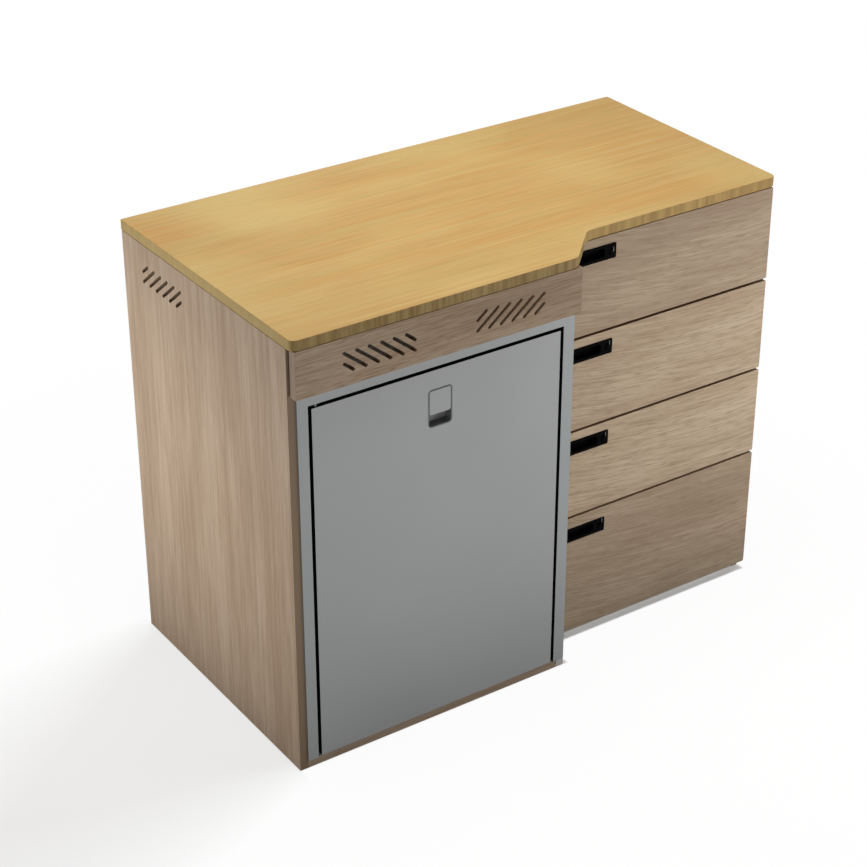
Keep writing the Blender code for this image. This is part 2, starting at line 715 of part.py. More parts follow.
upper_pin = rod("upper_pin", "z", door_high - HINGE_PIN_LENGTH, opening_top - HINGE_TOP_THICK / 2,
                (hinge_x, hinge_y), HINGE_PIN_RADIUS)
lower_lug = box("lower_lug", (opening_left - FRAME_RETURN_THICK / 2, hinge_y - HINGE_PIN_RADIUS, frame_bottom),
                (hinge_x + HINGE_PLATE_WIDTH / 2, cabinet_front - SEAT, frame_bottom + HINGE_LOW_THICK))
lower_pin = rod("lower_pin", "z", frame_bottom + HINGE_LOW_THICK / 2, door_low + HINGE_PIN_LENGTH,
                (hinge_x, hinge_y), HINGE_PIN_RADIUS)
settle(fused(flange, frame_return, upper_lug, upper_pin, lower_lug, lower_pin), door_grey)

# Insulated cabinet: a steel shell, foam and a liner, all stepped over the compressor niche
CABINET_REAR_GAP = 0.0197
SHELL_THICK = 0.0012
NICHE_DEPTH = 0.170
NICHE_HEIGHT = 0.200
SIDE_INSULATION = 0.038
TOP_INSULATION = 0.035
BOTTOM_INSULATION = 0.035
BACK_INSULATION = 0.045
LINER_THICK = 0.002

cabinet_back = carcass_back - CABINET_REAR_GAP
cabinet_low = BOARD + SEAT
cabinet_high = opening_top
cavity_left = opening_left + SIDE_INSULATION
cavity_right = opening_right - SIDE_INSULATION
cavity_low = cabinet_low + BOTTOM_INSULATION
cavity_high = cabinet_high - TOP_INSULATION
cavity_back = cabinet_back - BACK_INSULATION
step_front = cabinet_back - NICHE_DEPTH - BACK_INSULATION
step_top = cabinet_low + NICHE_HEIGHT + BOTTOM_INSULATION


def stepped(front, low, high, back, step_depth_at, step_high):
    """The side outline of a cabinet with a raised back."""
    return [(front, low), (step_depth_at, low), (step_depth_at, step_high), (back, step_high), (back, high),
            (front, high)]


shell = plate("fridge_cabinet_shell", "x", opening_left, opening_right,
              stepped(cabinet_front, cabinet_low, cabinet_high, cabinet_back, cabinet_back - NICHE_DEPTH,
                      cabinet_low + NICHE_HEIGHT))
settle(shelled(shell, SHELL_THICK, (0, -1, 0)), door_grey)

skin_gap = SHELL_THICK + SEAT
liner_gap = LINER_THICK + SEAT
foam_front = cabinet_front + liner_gap
foam = plate("fridge_insulation", "x", opening_left + skin_gap, opening_right - skin_gap,
             stepped(foam_front, cabinet_low + skin_gap, cabinet_high - skin_gap, cabinet_back - skin_gap,
                     cabinet_back - NICHE_DEPTH - skin_gap, cabinet_low + NICHE_HEIGHT + skin_gap))
hollow = plate("hollow_cutter", "x", cavity_left - liner_gap, cavity_right + liner_gap,
               stepped(foam_front - OVERRUN, cavity_low - liner_gap, cavity_high + liner_gap,
                       cavity_back + liner_gap, step_front + liner_gap, step_top - liner_gap))
settle(cut(foam, hollow), foam_cream)

liner = plate("fridge_liner", "x", cavity_left - LINER_THICK, cavity_right + LINER_THICK,
              stepped(cabinet_front, cavity_low - LINER_THICK, cavity_high + LINER_THICK,
                      cavity_back + LINER_THICK, step_front + LINER_THICK, step_top - LINER_THICK))
shelled(liner, LINER_THICK, (0, -1, 0))
liner_rim = plate("liner_rim", "y", cabinet_front, cabinet_front + LINER_THICK,
                  rectangle(opening_left + skin_gap, cabinet_low + skin_gap, opening_right - skin_gap,
                            cabinet_high - skin_gap),
                  [rectangle(cavity_left - LINER_THICK / 2, cavity_low - LINER_THICK / 2,
                             cavity_right + LINER_THICK / 2, cavity_high + LINER_THICK / 2)])
settle(fused(liner, liner_rim), liner_white)

# Door: steel skin, foam core, inner liner with its raised rim, and the seal
LATCH_WIDTH = 0.0455
LATCH_HEIGHT = 0.0673
LATCH_BELOW_DOOR_TOP = 0.0327
LATCH_CORNER = 0.007
LATCH_DEPTH = 0.018
LATCH_WALL = 0.0015

DOOR_RIM_LEFT = 0.044
DOOR_RIM_THICK = 0.012
DOOR_RIM_CORNER = 0.014
DOOR_RIM_REACH = 0.024

latch_middle = (door_left + door_right) / 2
latch_top = door_high - LATCH_BELOW_DOOR_TOP
latch_low = latch_top - LATCH_HEIGHT
joint_frame("fridge_door", (hinge_x, hinge_y, (door_low + door_high) / 2))

pin_bores = [rod("pin_bore", "z", door_low - OVERRUN, door_low + HINGE_PIN_LENGTH + OVERRUN,
                 (hinge_x, hinge_y), HINGE_PIN_RADIUS + HINGE_PIN_PLAY),
             rod("pin_bore", "z", door_high - HINGE_PIN_LENGTH - OVERRUN, door_high + OVERRUN,
                 (hinge_x, hinge_y), HINGE_PIN_RADIUS + HINGE_PIN_PLAY)]
latch_ring = rounded(rectangle(latch_middle - LATCH_WIDTH / 2, latch_low, latch_middle + LATCH_WIDTH / 2,
                               latch_top), LATCH_CORNER)
latch_pocket = plate("latch_pocket", "y", door_face - OVERRUN, door_face + LATCH_DEPTH + 2 * SEAT,
                     rounded(rectangle(latch_middle - LATCH_WIDTH / 2 - SEAT, latch_low - SEAT,
                                       latch_middle + LATCH_WIDTH / 2 + SEAT, latch_top + SEAT),
                             LATCH_CORNER + SEAT))
skin = tub("fridge_door_skin", (door_left, door_face, door_low), (door_right, skin_back, door_high), DOOR_SKIN,
           (0, 1, 0))
settle(cut(skin, latch_pocket, *pin_bores), door_grey, "fridge_door")
core = box("fridge_door_core", (door_left + DOOR_SKIN + SEAT, door_face + DOOR_SKIN + SEAT,
                                door_low + DOOR_SKIN + SEAT),
           (door_right - DOOR_SKIN - SEAT, skin_back, door_high - DOOR_SKIN - SEAT))
settle(cut(core, latch_pocket, *pin_bores), foam_cream, "fridge_door")

door_liner = box("fridge_door_liner", (door_left + DOOR_LINER_INSET, skin_back + SEAT,
                                       door_low + DOOR_LINER_INSET),
                 (door_right - DOOR_LINER_INSET, liner_plate_back, door_high - DOOR_LINER_INSET))
rim_left = door_left + DOOR_RIM_LEFT
rim_right = door_right - DOOR_RIM_LEFT
rim_low = cavity_low + SEAL_INSET
rim_high = cavity_high - SEAL_INSET
rim = plate("door_rim", "y", liner_plate_back - DOOR_LINER_THICK / 2, liner_plate_back + DOOR_RIM_REACH,
            rounded(rectangle(rim_left, rim_low, rim_right, rim_high), DOOR_RIM_CORNER),
            [rounded(rectangle(rim_left + DOOR_RIM_THICK, rim_low + DOOR_RIM_THICK,
                               rim_right - DOOR_RIM_THICK, rim_high - DOOR_RIM_THICK), SEAL_CORNER)])
settle(fused(door_liner, rim), liner_white, "fridge_door")

seal_front = liner_plate_back + SEAT
seal_left = door_left + SEAL_INSET
seal_right = door_right - SEAL_INSET
seal_low = door_low + SEAL_INSET
seal_high = door_high - SEAL_INSET
settle(plate("fridge_door_seal", "y", seal_front, seal_front + SEAL_THICK,
             rounded(rectangle(seal_left, seal_low, seal_right, seal_high), SEAL_CORNER),
             [rounded(rectangle(seal_left + SEAL_WIDTH, seal_low + SEAL_WIDTH, seal_right - SEAL_WIDTH,
                                seal_high - SEAL_WIDTH), SEAL_CORNER)]), seal_black, "fridge_door")

# Latch: a recessed housing with a sprung pull flap
FLAP_GAP = 0.0012
FLAP_HEIGHT = 0.0418
FLAP_THICK = 0.0025
FLAP_CORNER = 0.004
FLAP_PIVOT_INSET = 0.0021
FLAP_BARREL_RADIUS = 0.0020
FLAP_PIN_RADIUS = 0.0010
FLAP_PIN_PLAY = 0.0003
FLAP_PIN_REACH = 0.0008

flap_left = latch_middle - LATCH_WIDTH / 2 + LATCH_WALL + FLAP_GAP
flap_right = latch_middle + LATCH_WIDTH / 2 - LATCH_WALL - FLAP_GAP
flap_high = latch_top - LATCH_WALL - FLAP_GAP
flap_pivot_y = door_face + FLAP_PIVOT_INSET
flap_pivot_z = flap_high - FLAP_PIVOT_INSET
flap_pin_end = FLAP_GAP + FLAP_PIN_REACH
joint_frame("latch_flap", (latch_middle, flap_pivot_y, flap_pivot_z), "fridge_door")

housing = plate("latch_housing", "y", door_face, door_face + LATCH_DEPTH, latch_ring)
housing_room = plate("housing_room", "y", door_face - OVERRUN, door_face + LATCH_DEPTH - LATCH_WALL,
                     rounded(rectangle(latch_middle - LATCH_WIDTH / 2 + LATCH_WALL, latch_low + LATCH_WALL,
                                       latch_middle + LATCH_WIDTH / 2 - LATCH_WALL, latch_top - LATCH_WALL),
                             LATCH_CORNER - LATCH_WALL))
flap_bore = rod("flap_bore", "x", latch_middle - LATCH_WIDTH / 2 - OVERRUN,
                latch_middle + LATCH_WIDTH / 2 + OVERRUN, (flap_pivot_y, flap_pivot_z),
                FLAP_PIN_RADIUS + FLAP_PIN_PLAY)
settle(cut(housing, housing_room, flap_bore), housing_dark, "fridge_door")

flap = plate("latch_flap", "y", door_face, door_face + FLAP_THICK,
             rounded(rectangle(flap_left, flap_high - FLAP_HEIGHT, flap_right, flap_high), FLAP_CORNER))
barrel = rod("flap_barrel", "x", flap_left + FLAP_GAP, flap_right - FLAP_GAP, (flap_pivot_y, flap_pivot_z),
             FLAP_BARREL_RADIUS)
pins = rod("flap_pins", "x", flap_left - flap_pin_end, flap_right + flap_pin_end, (flap_pivot_y, flap_pivot_z),
           FLAP_PIN_RADIUS)
settle(fused(flap, barrel, pins), door_grey, "latch_flap")

# Door rack and bottle rack on the inside of the door
RACK_LEFT_INSET = 0.0003
RACK_WALL = 0.0025
RACK_REACH = 0.088
RACK_HEIGHT = 0.070
RACK_BOTTOM_SHARE = 0.48
BOTTLE_RACK_HEIGHT = 0.095
BOTTLE_RACK_REACH = 0.092

rack_left = rim_left + DOOR_RIM_THICK + RACK_LEFT_INSET
rack_right = rim_right - DOOR_RIM_THICK - RACK_LEFT_INSET
rack_front = liner_plate_back + SEAT
rack_low = cavity_low + RACK_BOTTOM_SHARE * (cavity_high - cavity_low)
bottle_rack_low = rim_low + DOOR_RIM_THICK + SEAL_CORNER
settle(tub("door_rack", (rack_left, rack_front, rack_low),
           (rack_right, rack_front + RACK_REACH, rack_low + RACK_HEIGHT), RACK_WALL, (0, 0, 1)),
       clear_plastic, "fridge_door")
settle(tub("bottle_rack", (rack_left, rack_front, bottle_rack_low),
           (rack_right, rack_front + BOTTLE_RACK_REACH, bottle_rack_low + BOTTLE_RACK_HEIGHT), RACK_WALL,
           (0, 0, 1)), clear_plastic, "fridge_door")

# Freezer box under the ceiling of the cavity, with its flap
FREEZER_SIDE_GAP = 0.010
FREEZER_FRONT = 0.138
FREEZER_REAR_GAP = 0.021
FREEZER_HEIGHT = 0.110
FREEZER_WALL = 0.002
FREEZER_FLAP_THICK = 0.004
FREEZER_FLAP_GAP = 0.0015
FREEZER_HINGE_RADIUS = 0.0025
FREEZER_PIN_RADIUS = 0.0012
FREEZER_EAR_WIDTH = 0.004
FREEZER_EAR_REACH = 0.010
FREEZER_EAR_HEIGHT = 0.008

freezer_left = cavity_left + FREEZER_SIDE_GAP
freezer_right = cavity_right - FREEZER_SIDE_GAP
freezer_near = cabinet_front + FREEZER_FRONT
freezer_high = cavity_high - SEAT
freezer_low = freezer_high - FREEZER_HEIGHT
freezer_far = cavity_back - FREEZER_REAR_GAP
freezer_box = tub("freezer_box", (freezer_left, freezer_near, freezer_low),
                  (freezer_right, freezer_far, freezer_high), FREEZER_WALL, (0, -1, 0))
freezer_pivot_y = freezer_near - FREEZER_EAR_REACH / 2
freezer_pivot_z = freezer_high - FREEZER_EAR_HEIGHT / 2
ears = [box("ear", (ear_left, freezer_near - FREEZER_EAR_REACH, freezer_high - FREEZER_EAR_HEIGHT),
            (ear_left + FREEZER_EAR_WIDTH, freezer_near + FREEZER_WALL, freezer_high))
        for ear_left in (freezer_left, freezer_right - FREEZER_EAR_WIDTH)]
fused(freezer_box, *ears)
ear_bore = rod("ear_bore", "x", freezer_left - OVERRUN, freezer_right + OVERRUN,
               (freezer_pivot_y, freezer_pivot_z), FREEZER_PIN_RADIUS + SEAT)
settle(cut(freezer_box, ear_bore), aluminium)

joint_frame("freezer_flap", ((freezer_left + freezer_right) / 2, freezer_pivot_y, freezer_pivot_z))
flap_in = FREEZER_EAR_WIDTH + FREEZER_FLAP_GAP
freezer_flap = box("freezer_flap", (freezer_left + flap_in, freezer_pivot_y - FREEZER_FLAP_THICK / 2,
                                    freezer_low + FREEZER_FLAP_GAP),
                   (freezer_right - flap_in, freezer_pivot_y + FREEZER_FLAP_THICK / 2, freezer_pivot_z))
freezer_barrel = rod("barrel", "x", freezer_left + flap_in, freezer_right - flap_in,
                     (freezer_pivot_y, freezer_pivot_z), FREEZER_HINGE_RADIUS)
freezer_pins = rod("pins", "x", freezer_left + FREEZER_FLAP_GAP, freezer_right - FREEZER_FLAP_GAP,
                   (freezer_pivot_y, freezer_pivot_z), FREEZER_PIN_RADIUS)
settle(fused(freezer_flap, freezer_barrel, freezer_pins), liner_white, "freezer_flap")

# Shelves on the liner walls, and the crisper bin under the lower one
SHELF_FRONT = 0.096
SHELF_THICK = 0.005
SHELF_HEIGHT_SHARES = (0.08, 0.52)
SHELF_BAR = 0.004
SHELF_RIM = 0.008
SHELF_GAPS = 16
CRISPER_WALL = 0.002
CRISPER_SIDE_GAP = 0.014
CRISPER_HEIGHT = 0.150

shelf_left = cavity_left + SEAT
shelf_right = cavity_right - SEAT
shelf_near = cabinet_front + SHELF_FRONT
shelf_far = cavity_back - SEAT
shelf_pitch = (shelf_right - shelf_left - 2 * SHELF_RIM + SHELF_BAR) / SHELF_GAPS
shelf_gaps = [rectangle(shelf_left + SHELF_RIM + number * shelf_pitch, shelf_near + SHELF_RIM,
                        shelf_left + SHELF_RIM + (number + 1) * shelf_pitch - SHELF_BAR,
                        shelf_far - SHELF_RIM) for number in range(SHELF_GAPS)]
shelf_heights = [step_top + share * (freezer_low - step_top) for share in SHELF_HEIGHT_SHARES]
for name, height in zip(("shelf_lower", "shelf_upper"), shelf_heights):
    settle(plate(name, "z", height, height + SHELF_THICK,
                 rectangle(shelf_left, shelf_near, shelf_right, shelf_far), shelf_gaps), clear_plastic)
settle(tub("crisper_bin", (cavity_left + CRISPER_SIDE_GAP, shelf_near, cavity_low + SEAT),
           (cavity_right - CRISPER_SIDE_GAP, step_front - SEAT, cavity_low + SEAT + CRISPER_HEIGHT),
           CRISPER_WALL, (0, 0, 1)), clear_plastic)

# Thermostat on the right wall of the cavity
THERMO_WIDTH = 0.034
THERMO_HEIGHT_SHARE = 0.48
THERMO_DEPTH = 0.080
THERMO_CORNER = 0.005
THERMO_DROP_SHARE = 0.16
KNOB_RADIUS = 0.013
KNOB_LENGTH = 0.016
KNOB_SKIRT = 0.004
KNOB_GRIP_RADIUS = 0.010

thermo_right = cavity_right - SEAT
thermo_left = thermo_right - THERMO_WIDTH
thermo_room = freezer_low - shelf_heights[-1] - SHELF_THICK
thermo_high = freezer_low - THERMO_DROP_SHARE * thermo_room
thermo_low = thermo_high - THERMO_HEIGHT_SHARE * thermo_room
thermo_near = freezer_near
knob_x = (thermo_left + thermo_right) / 2
knob_z = (thermo_low + thermo_high) / 2
knob_back = thermo_near - SEAT
housing_outline = rounded(rectangle(thermo_left, thermo_low, thermo_right, thermo_high),
                          [THERMO_CORNER, 0, 0, THERMO_CORNER])
settle(plate("thermostat_housing", "y", thermo_near, thermo_near + THERMO_DEPTH, housing_outline), liner_white)
joint_frame("thermostat_knob", (knob_x, knob_back, knob_z))
knob = turned("thermostat_knob", "y", (knob_x, knob_back, knob_z),
              [(0, KNOB_LENGTH), (KNOB_GRIP_RADIUS, KNOB_LENGTH), (KNOB_RADIUS, KNOB_SKIRT), (KNOB_RADIUS, 0),
               (0, 0)], PIN_SIDES)
settle(knob, liner_white, "thermostat_knob")

# Compressor in the niche behind the fridge
COMPRESSOR_RADIUS = 0.056
COMPRESSOR_HEIGHT = 0.130
COMPRESSOR_DOME = 0.040
COMPRESSOR_FROM_LEFT = 0.090
COMPRESSOR_FOOT = 0.140
COMPRESSOR_FOOT_THICK = 0.003
COMPRESSOR_FOOT_CORNER = 0.012
COMPRESSOR_SEAM = 0.003
ELECTRONICS_WIDTH = 0.024
ELECTRONICS_HEIGHT = 0.070
ELECTRONICS_LENGTH = 0.090

niche_front = cabinet_back - NICHE_DEPTH
niche_middle = niche_front + NICHE_DEPTH / 2
compressor_x = opening_left + COMPRESSOR_FROM_LEFT
foot_low = BOARD + SEAT
foot_high = foot_low + COMPRESSOR_FOOT_THICK
dome_base = foot_high + COMPRESSOR_HEIGHT - COMPRESSOR_DOME
DOME_STEPS = 5
compressor_profile = [(COMPRESSOR_RADIUS * sin(pi / 2 * step / DOME_STEPS),
                       dome_base + COMPRESSOR_DOME * cos(pi / 2 * step / DOME_STEPS))
                      for step in range(DOME_STEPS + 1)]
seam_high = foot_high + (COMPRESSOR_HEIGHT - COMPRESSOR_DOME) / 2
compressor_profile += [(COMPRESSOR_RADIUS, seam_high + COMPRESSOR_SEAM),
                       (COMPRESSOR_RADIUS + COMPRESSOR_SEAM, seam_high + COMPRESSOR_SEAM),
                       (COMPRESSOR_RADIUS + COMPRESSOR_SEAM, seam_high), (COMPRESSOR_RADIUS, seam_high),
                       (COMPRESSOR_RADIUS, foot_low + COMPRESSOR_FOOT_THICK / 2),
                       (0, foot_low + COMPRESSOR_FOOT_THICK / 2)]
pot = turned("compressor", "z", (compressor_x, niche_middle, 0), compressor_profile, 2 * PIN_SIDES)
foot = plate("compressor_foot", "z", foot_low, foot_high,
             rounded(rectangle(compressor_x - COMPRESSOR_FOOT / 2, niche_middle - COMPRESSOR_FOOT / 2,
                               compressor_x + COMPRESSOR_FOOT / 2, niche_middle + COMPRESSOR_FOOT / 2),
                     COMPRESSOR_FOOT_CORNER))
electronics_low = foot_high + COMPRESSOR_SEAM
electronics = box("electronics", (compressor_x + COMPRESSOR_RADIUS - COMPRESSOR_SEAM,
                                  niche_middle - ELECTRONICS_LENGTH / 2, electronics_low),
                  (compressor_x + COMPRESSOR_RADIUS + ELECTRONICS_WIDTH,
                   niche_middle + ELECTRONICS_LENGTH / 2, electronics_low + ELECTRONICS_HEIGHT))
settle(fused(pot, foot, electronics), compressor_black)

# Condenser: a serpentine tube with cross wires, standing on its own foot, behind the fan
CONDENSER_WIDTH = 0.150
CONDENSER_FROM_RIGHT = 0.040
CONDENSER_TUBE = 0.0024
CONDENSER_PITCH = 0.016
CONDENSER_PASSES = 9
CONDENSER_WIRE = 0.0008
CONDENSER_WIRES = 12
WIRE_SIDES = 6
CONDENSER_BEHIND = 0.020
BEND_STEPS = 6

condenser_right = opening_right - CONDENSER_FROM_RIGHT
condenser_left = condenser_right - CONDENSER_WIDTH
condenser_y = cabinet_back - CONDENSER_BEHIND
bend_radius = CONDENSER_PITCH / 2
first_pass = foot_low + CONDENSER_TUBE
coil_route = []
for number in range(CONDENSER_PASSES):
    height = first_pass + number * CONDENSER_PITCH
    rightward = number % 2 == 0
    ends = (condenser_left + bend_radius, condenser_right - bend_radius)
    near_x, far_x = ends if rightward else ends[::-1]
    coil_route.append((near_x, condenser_y, height))
    if number == CONDENSER_PASSES - 1:
        coil_route.append((far_x, condenser_y, height))
        continue
    for step in range(BEND_STEPS):
        turn = pi * step / BEND_STEPS
        side = 1 if rightward else -1
        coil_route.append((far_x + side * bend_radius * sin(turn), condenser_y,
                           height + bend_radius - bend_radius * cos(turn)))
coil = tube("condenser", coil_route, CONDENSER_TUBE)
wire_pitch = (CONDENSER_WIDTH - 2 * CONDENSER_PITCH) / (CONDENSER_WIRES - 1)
last_pass = first_pass + (CONDENSER_PASSES - 1) * CONDENSER_PITCH
wires = [rod("wire", "z", first_pass - CONDENSER_TUBE / 2, last_pass + CONDENSER_TUBE / 2,
             (condenser_left + CONDENSER_PITCH + number * wire_pitch,
              condenser_y + CONDENSER_TUBE - CONDENSER_WIRE / 2), CONDENSER_WIRE, WIRE_SIDES)
         for number in range(CONDENSER_WIRES)]
settle(fused(coil, grouped("wires", wires)), compressor_black)

# Fan in front of the condenser
FAN_SIZE = 0.120
FAN_THICK = 0.025
FAN_BORE = 0.055
FAN_CORNER = 0.006
FAN_HUB = 0.019
FAN_STRUT = 0.006
FAN_STRUT_THICK = 0.003
FAN_BLADES = 7
FAN_BLADE_THICK = 0.0015
FAN_BLADE_CHORD = 0.026
FAN_BLADE_PITCH = 40
FAN_TIP_GAP = 0.002
FAN_TO_COIL = 0.001
FAN_SHAFT = 0.003
FAN_SHAFT_LENGTH = 0.006

fan_back = condenser_y - CONDENSER_TUBE - FAN_TO_COIL
fan_front = fan_back - FAN_THICK
fan_x = (condenser_left + condenser_right) / 2
fan_z = foot_low + FAN_SIZE / 2


def circle(centre, radius, sides):
    """A closed ring of points."""
    return [(centre[0] + radius * cos(2 * pi * step / sides), centre[1] + radius * sin(2 * pi * step / sides))
            for step in range(sides)]


fan_outline = rounded(rectangle(fan_x - FAN_SIZE / 2, fan_z - FAN_SIZE / 2, fan_x + FAN_SIZE / 2,
                                fan_z + FAN_SIZE / 2), FAN_CORNER)
fan_housing = plate("fan_housing", "y", fan_front, fan_back, fan_outline,
                    [circle((fan_x, fan_z), FAN_BORE, 2 * PIN_SIDES)])
motor_plate = rod("motor_plate", "y", fan_back - FAN_STRUT_THICK, fan_back - SEAT, (fan_x, fan_z), FAN_HUB,
                  2 * PIN_SIDES)
shaft = rod("shaft", "y", fan_back - FAN_STRUT_THICK - FAN_SHAFT_LENGTH, fan_back - FAN_STRUT_THICK / 2,
            (fan_x, fan_z), FAN_SHAFT)
reach = FAN_BORE + FAN_CORNER / 2
strut_across = box("strut", (fan_x - reach, fan_back - FAN_STRUT_THICK + SEAT, fan_z - FAN_STRUT / 2),
                   (fan_x + reach, fan_back - 2 * SEAT, fan_z + FAN_STRUT / 2))
strut_up = box("strut", (fan_x - FAN_STRUT / 2, fan_back - FAN_STRUT_THICK + 2 * SEAT, fan_z - reach),
               (fan_x + FAN_STRUT / 2, fan_back - 3 * SEAT, fan_z + reach))
settle(fused(fan_housing, motor_plate, strut_across, strut_up, shaft), pull_black)

joint_frame("fan_rotor", (fan_x, (fan_front + fan_back) / 2, fan_z))
rotor_back = fan_back - FAN_STRUT_THICK - SEAT
rotor_front = fan_front + FAN_STRUT_THICK
rotor_middle = (rotor_front + rotor_back) / 2
rotor = rod("fan_rotor", "y", rotor_front, rotor_back, (fan_x, fan_z), FAN_HUB, 2 * PIN_SIDES)
shaft_bore = rod("shaft_bore", "y", rotor_back - FAN_SHAFT_LENGTH - SEAT, rotor_back + OVERRUN,
                 (fan_x, fan_z), FAN_SHAFT + SEAT)
blades = []
for number in range(FAN_BLADES):
    blade = box("blade", (-FAN_BLADE_CHORD / 2, -FAN_BLADE_THICK / 2, FAN_HUB - FAN_STRUT_THICK),
                (FAN_BLADE_CHORD / 2, FAN_BLADE_THICK / 2, FAN_BORE - FAN_TIP_GAP))
    blade.data.transform(Matrix.Rotation(radians(FAN_BLADE_PITCH), 4, "Z"))
    blade.data.transform(Matrix.Rotation(2 * pi * number / FAN_BLADES, 4, "Y"))
    blade.data.transform(Matrix.Translation((fan_x, rotor_middle, fan_z)))
    blades.append(blade)
fused(rotor, *blades)
settle(cut(rotor, shaft_bore), pull_black, "fan_rotor")

for piece in pod.objects:
    if piece.type == "MESH":
        piece.data.shade_smooth()
        piece.data.set_sharp_from_angle(angle=radians(30))
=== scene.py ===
# %% [markdown]
# # A campervan kitchen pod in Blender
#
# This lesson dresses a small piece of van furniture: a fridge behind a flush frame on the left, four
# drawers set back on the right, and one bamboo worktop with a 45 degree jog over both. The solids come
# ready made from the CAD model. What is left to do is what the eye enjoys: camera, light, finishes,
# broken edges, and the small fittings that a solid model leaves out.

# %% Load the frame
import bmesh
import bpy
from functools import partial
from math import cos, pi, radians, sin
from mathutils import Matrix, Vector


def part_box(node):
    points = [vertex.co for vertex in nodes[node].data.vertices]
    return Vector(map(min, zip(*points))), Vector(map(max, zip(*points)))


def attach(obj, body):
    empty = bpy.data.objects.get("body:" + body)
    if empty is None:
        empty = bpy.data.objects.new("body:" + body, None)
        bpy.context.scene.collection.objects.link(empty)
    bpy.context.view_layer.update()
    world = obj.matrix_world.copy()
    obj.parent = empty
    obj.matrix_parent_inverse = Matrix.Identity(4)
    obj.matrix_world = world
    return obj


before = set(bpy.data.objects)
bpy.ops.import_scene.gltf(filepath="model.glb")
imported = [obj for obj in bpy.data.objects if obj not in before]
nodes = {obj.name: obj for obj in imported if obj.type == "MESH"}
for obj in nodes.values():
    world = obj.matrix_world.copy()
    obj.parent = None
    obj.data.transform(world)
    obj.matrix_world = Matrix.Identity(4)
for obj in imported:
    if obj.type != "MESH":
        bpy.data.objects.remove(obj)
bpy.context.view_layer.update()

# %% [markdown]
# ## One way to write colours
#
# Paint charts and photographs give colours as sRGB hex values, and a maker can look those up. Blender's
# nodes want linear light, so one function turns the first into the second. Lengths are written as so many
# millimetres, which is how a joiner measures.

# %% Colour helper
MM = 0.001


def linear(hex_colour):
    """Turn an sRGB hex colour into the linear colour that shader sockets take."""
    shares = [int(hex_colour[start:start + 2], 16) / 255 for start in (1, 3, 5)]
    return [share / 12.92 if share <= 0.04045 else ((share + 0.055) / 1.055) ** 2.4
            for share in shares] + [1.0]


print("mid grey #808080 in linear light:", round(linear("#808080")[0], 3))

# %% [markdown]
# ## One way to write nodes
#
# A material could be wired by hand in the shader editor, or with three lines of Python for each node. Here
# one small function adds a node: its kind, its inputs and its settings, where an input is a value, an
# output of another node, or the other node itself, which stands for its first output in use. So each
# material below reads as a short list of what the real finish is made of.

# %% Node helpers
def fill(node, inputs):
    """Give a node its inputs: values, hex colours, outputs, or nodes for their first output in use."""
    for name, value in inputs.items():
        if isinstance(value, bpy.types.Node):
            value = next(output for output in value.outputs if output.enabled)
        if isinstance(value, bpy.types.NodeSocket):
            node.id_data.links.new(value, node.inputs[name])
        else:
            node.inputs[name].default_value = linear(value) if isinstance(value, str) else value


def add_node(owner, kind, inputs=None, stops=(), **settings):
    """Add one shader node to a material or a world; stops are a ramp's places and hex colours."""
    made = owner.node_tree.nodes.new("ShaderNode" + kind)
    for name, value in settings.items():
        setattr(made, name, value)
    for number, (position, colour) in enumerate(stops):
        points = made.color_ramp.elements
        if number == 0:
            points.remove(points[1])
            points[0].position = position
        point = points[0] if number == 0 else points.new(position)
        point.color = linear(colour)
    fill(made, inputs or {})
    return made


print("inputs may be values, hex colours, outputs or nodes")

# %% [markdown]
# ## What every finish shares
#
# A real finish is a ground tone with others laid over it where the grain, the wear or the paint is strong,
# then a relief that the fingers would feel, and a shine that changes a little with it. Each of these steps
# comes back in nearly every material, so each is a function: it keeps the recipes short, and one place
# decides how a tint is mixed.

# %% Finish helpers
def new_finish(name, values):
    """Start a material with its even values; returns it and the function that adds nodes to it."""
    material = bpy.data.materials.new(name)
    material.use_nodes = True
    fill(material.node_tree.nodes["Principled BSDF"], values)
    return material, partial(add_node, material)


def tint(add, tone, marks, low, high, colour, share=1.0):
    """Lay a colour over a tone, up to a share, as the marks go from low to high."""
    over = add("MapRange", {0: marks, 1: low, 2: high, 4: share})
    return add("Mix", {0: over, 6: tone, 7: colour}, data_type="RGBA")


def finished(material, tone, relief=None, depth_mm=0.0, shine=None, sunk=False):
    """Link a tone, a relief and a shine, which is a pattern with the roughness where it is low and high."""
    last_inputs = {"Base Color": tone}
    if relief:
        last_inputs["Normal"] = add_node(
            material, "Bump", {"Height": relief, "Distance": depth_mm * MM}, invert=sunk)
    if shine:
        last_inputs["Roughness"] = add_node(
            material, "MapRange", {0: shine[0], 1: 0.3, 2: 0.7, 3: shine[1], 4: shine[2]})
    fill(material.node_tree.nodes["Principled BSDF"], last_inputs)
    return material


print("a finish is a ground tone, tints, a relief and a shine")

# %% [markdown]
# ## The camera
#
# The photograph was taken from the front left and a little above, with a fairly long lens, so the
# upright edges run together only slightly. The place and the lens below were found by fitting the
# projection to the straight edges of the pod. The picture is square, and there is no shift.

# %% Camera
CAMERA_PLACE = (-1.93095, -2.73365, 2.2234)
CAMERA_TURN = 34.244
CAMERA_DIP = 29.152
LENS = 90.9
SENSOR = 36.0
POD_MIDDLE = Vector((0, 0, 0.4))


def new_object(name, data):
    """Put a new object into the scene."""
    made = bpy.data.objects.new(name, data)
    bpy.context.scene.collection.objects.link(made)
    return made


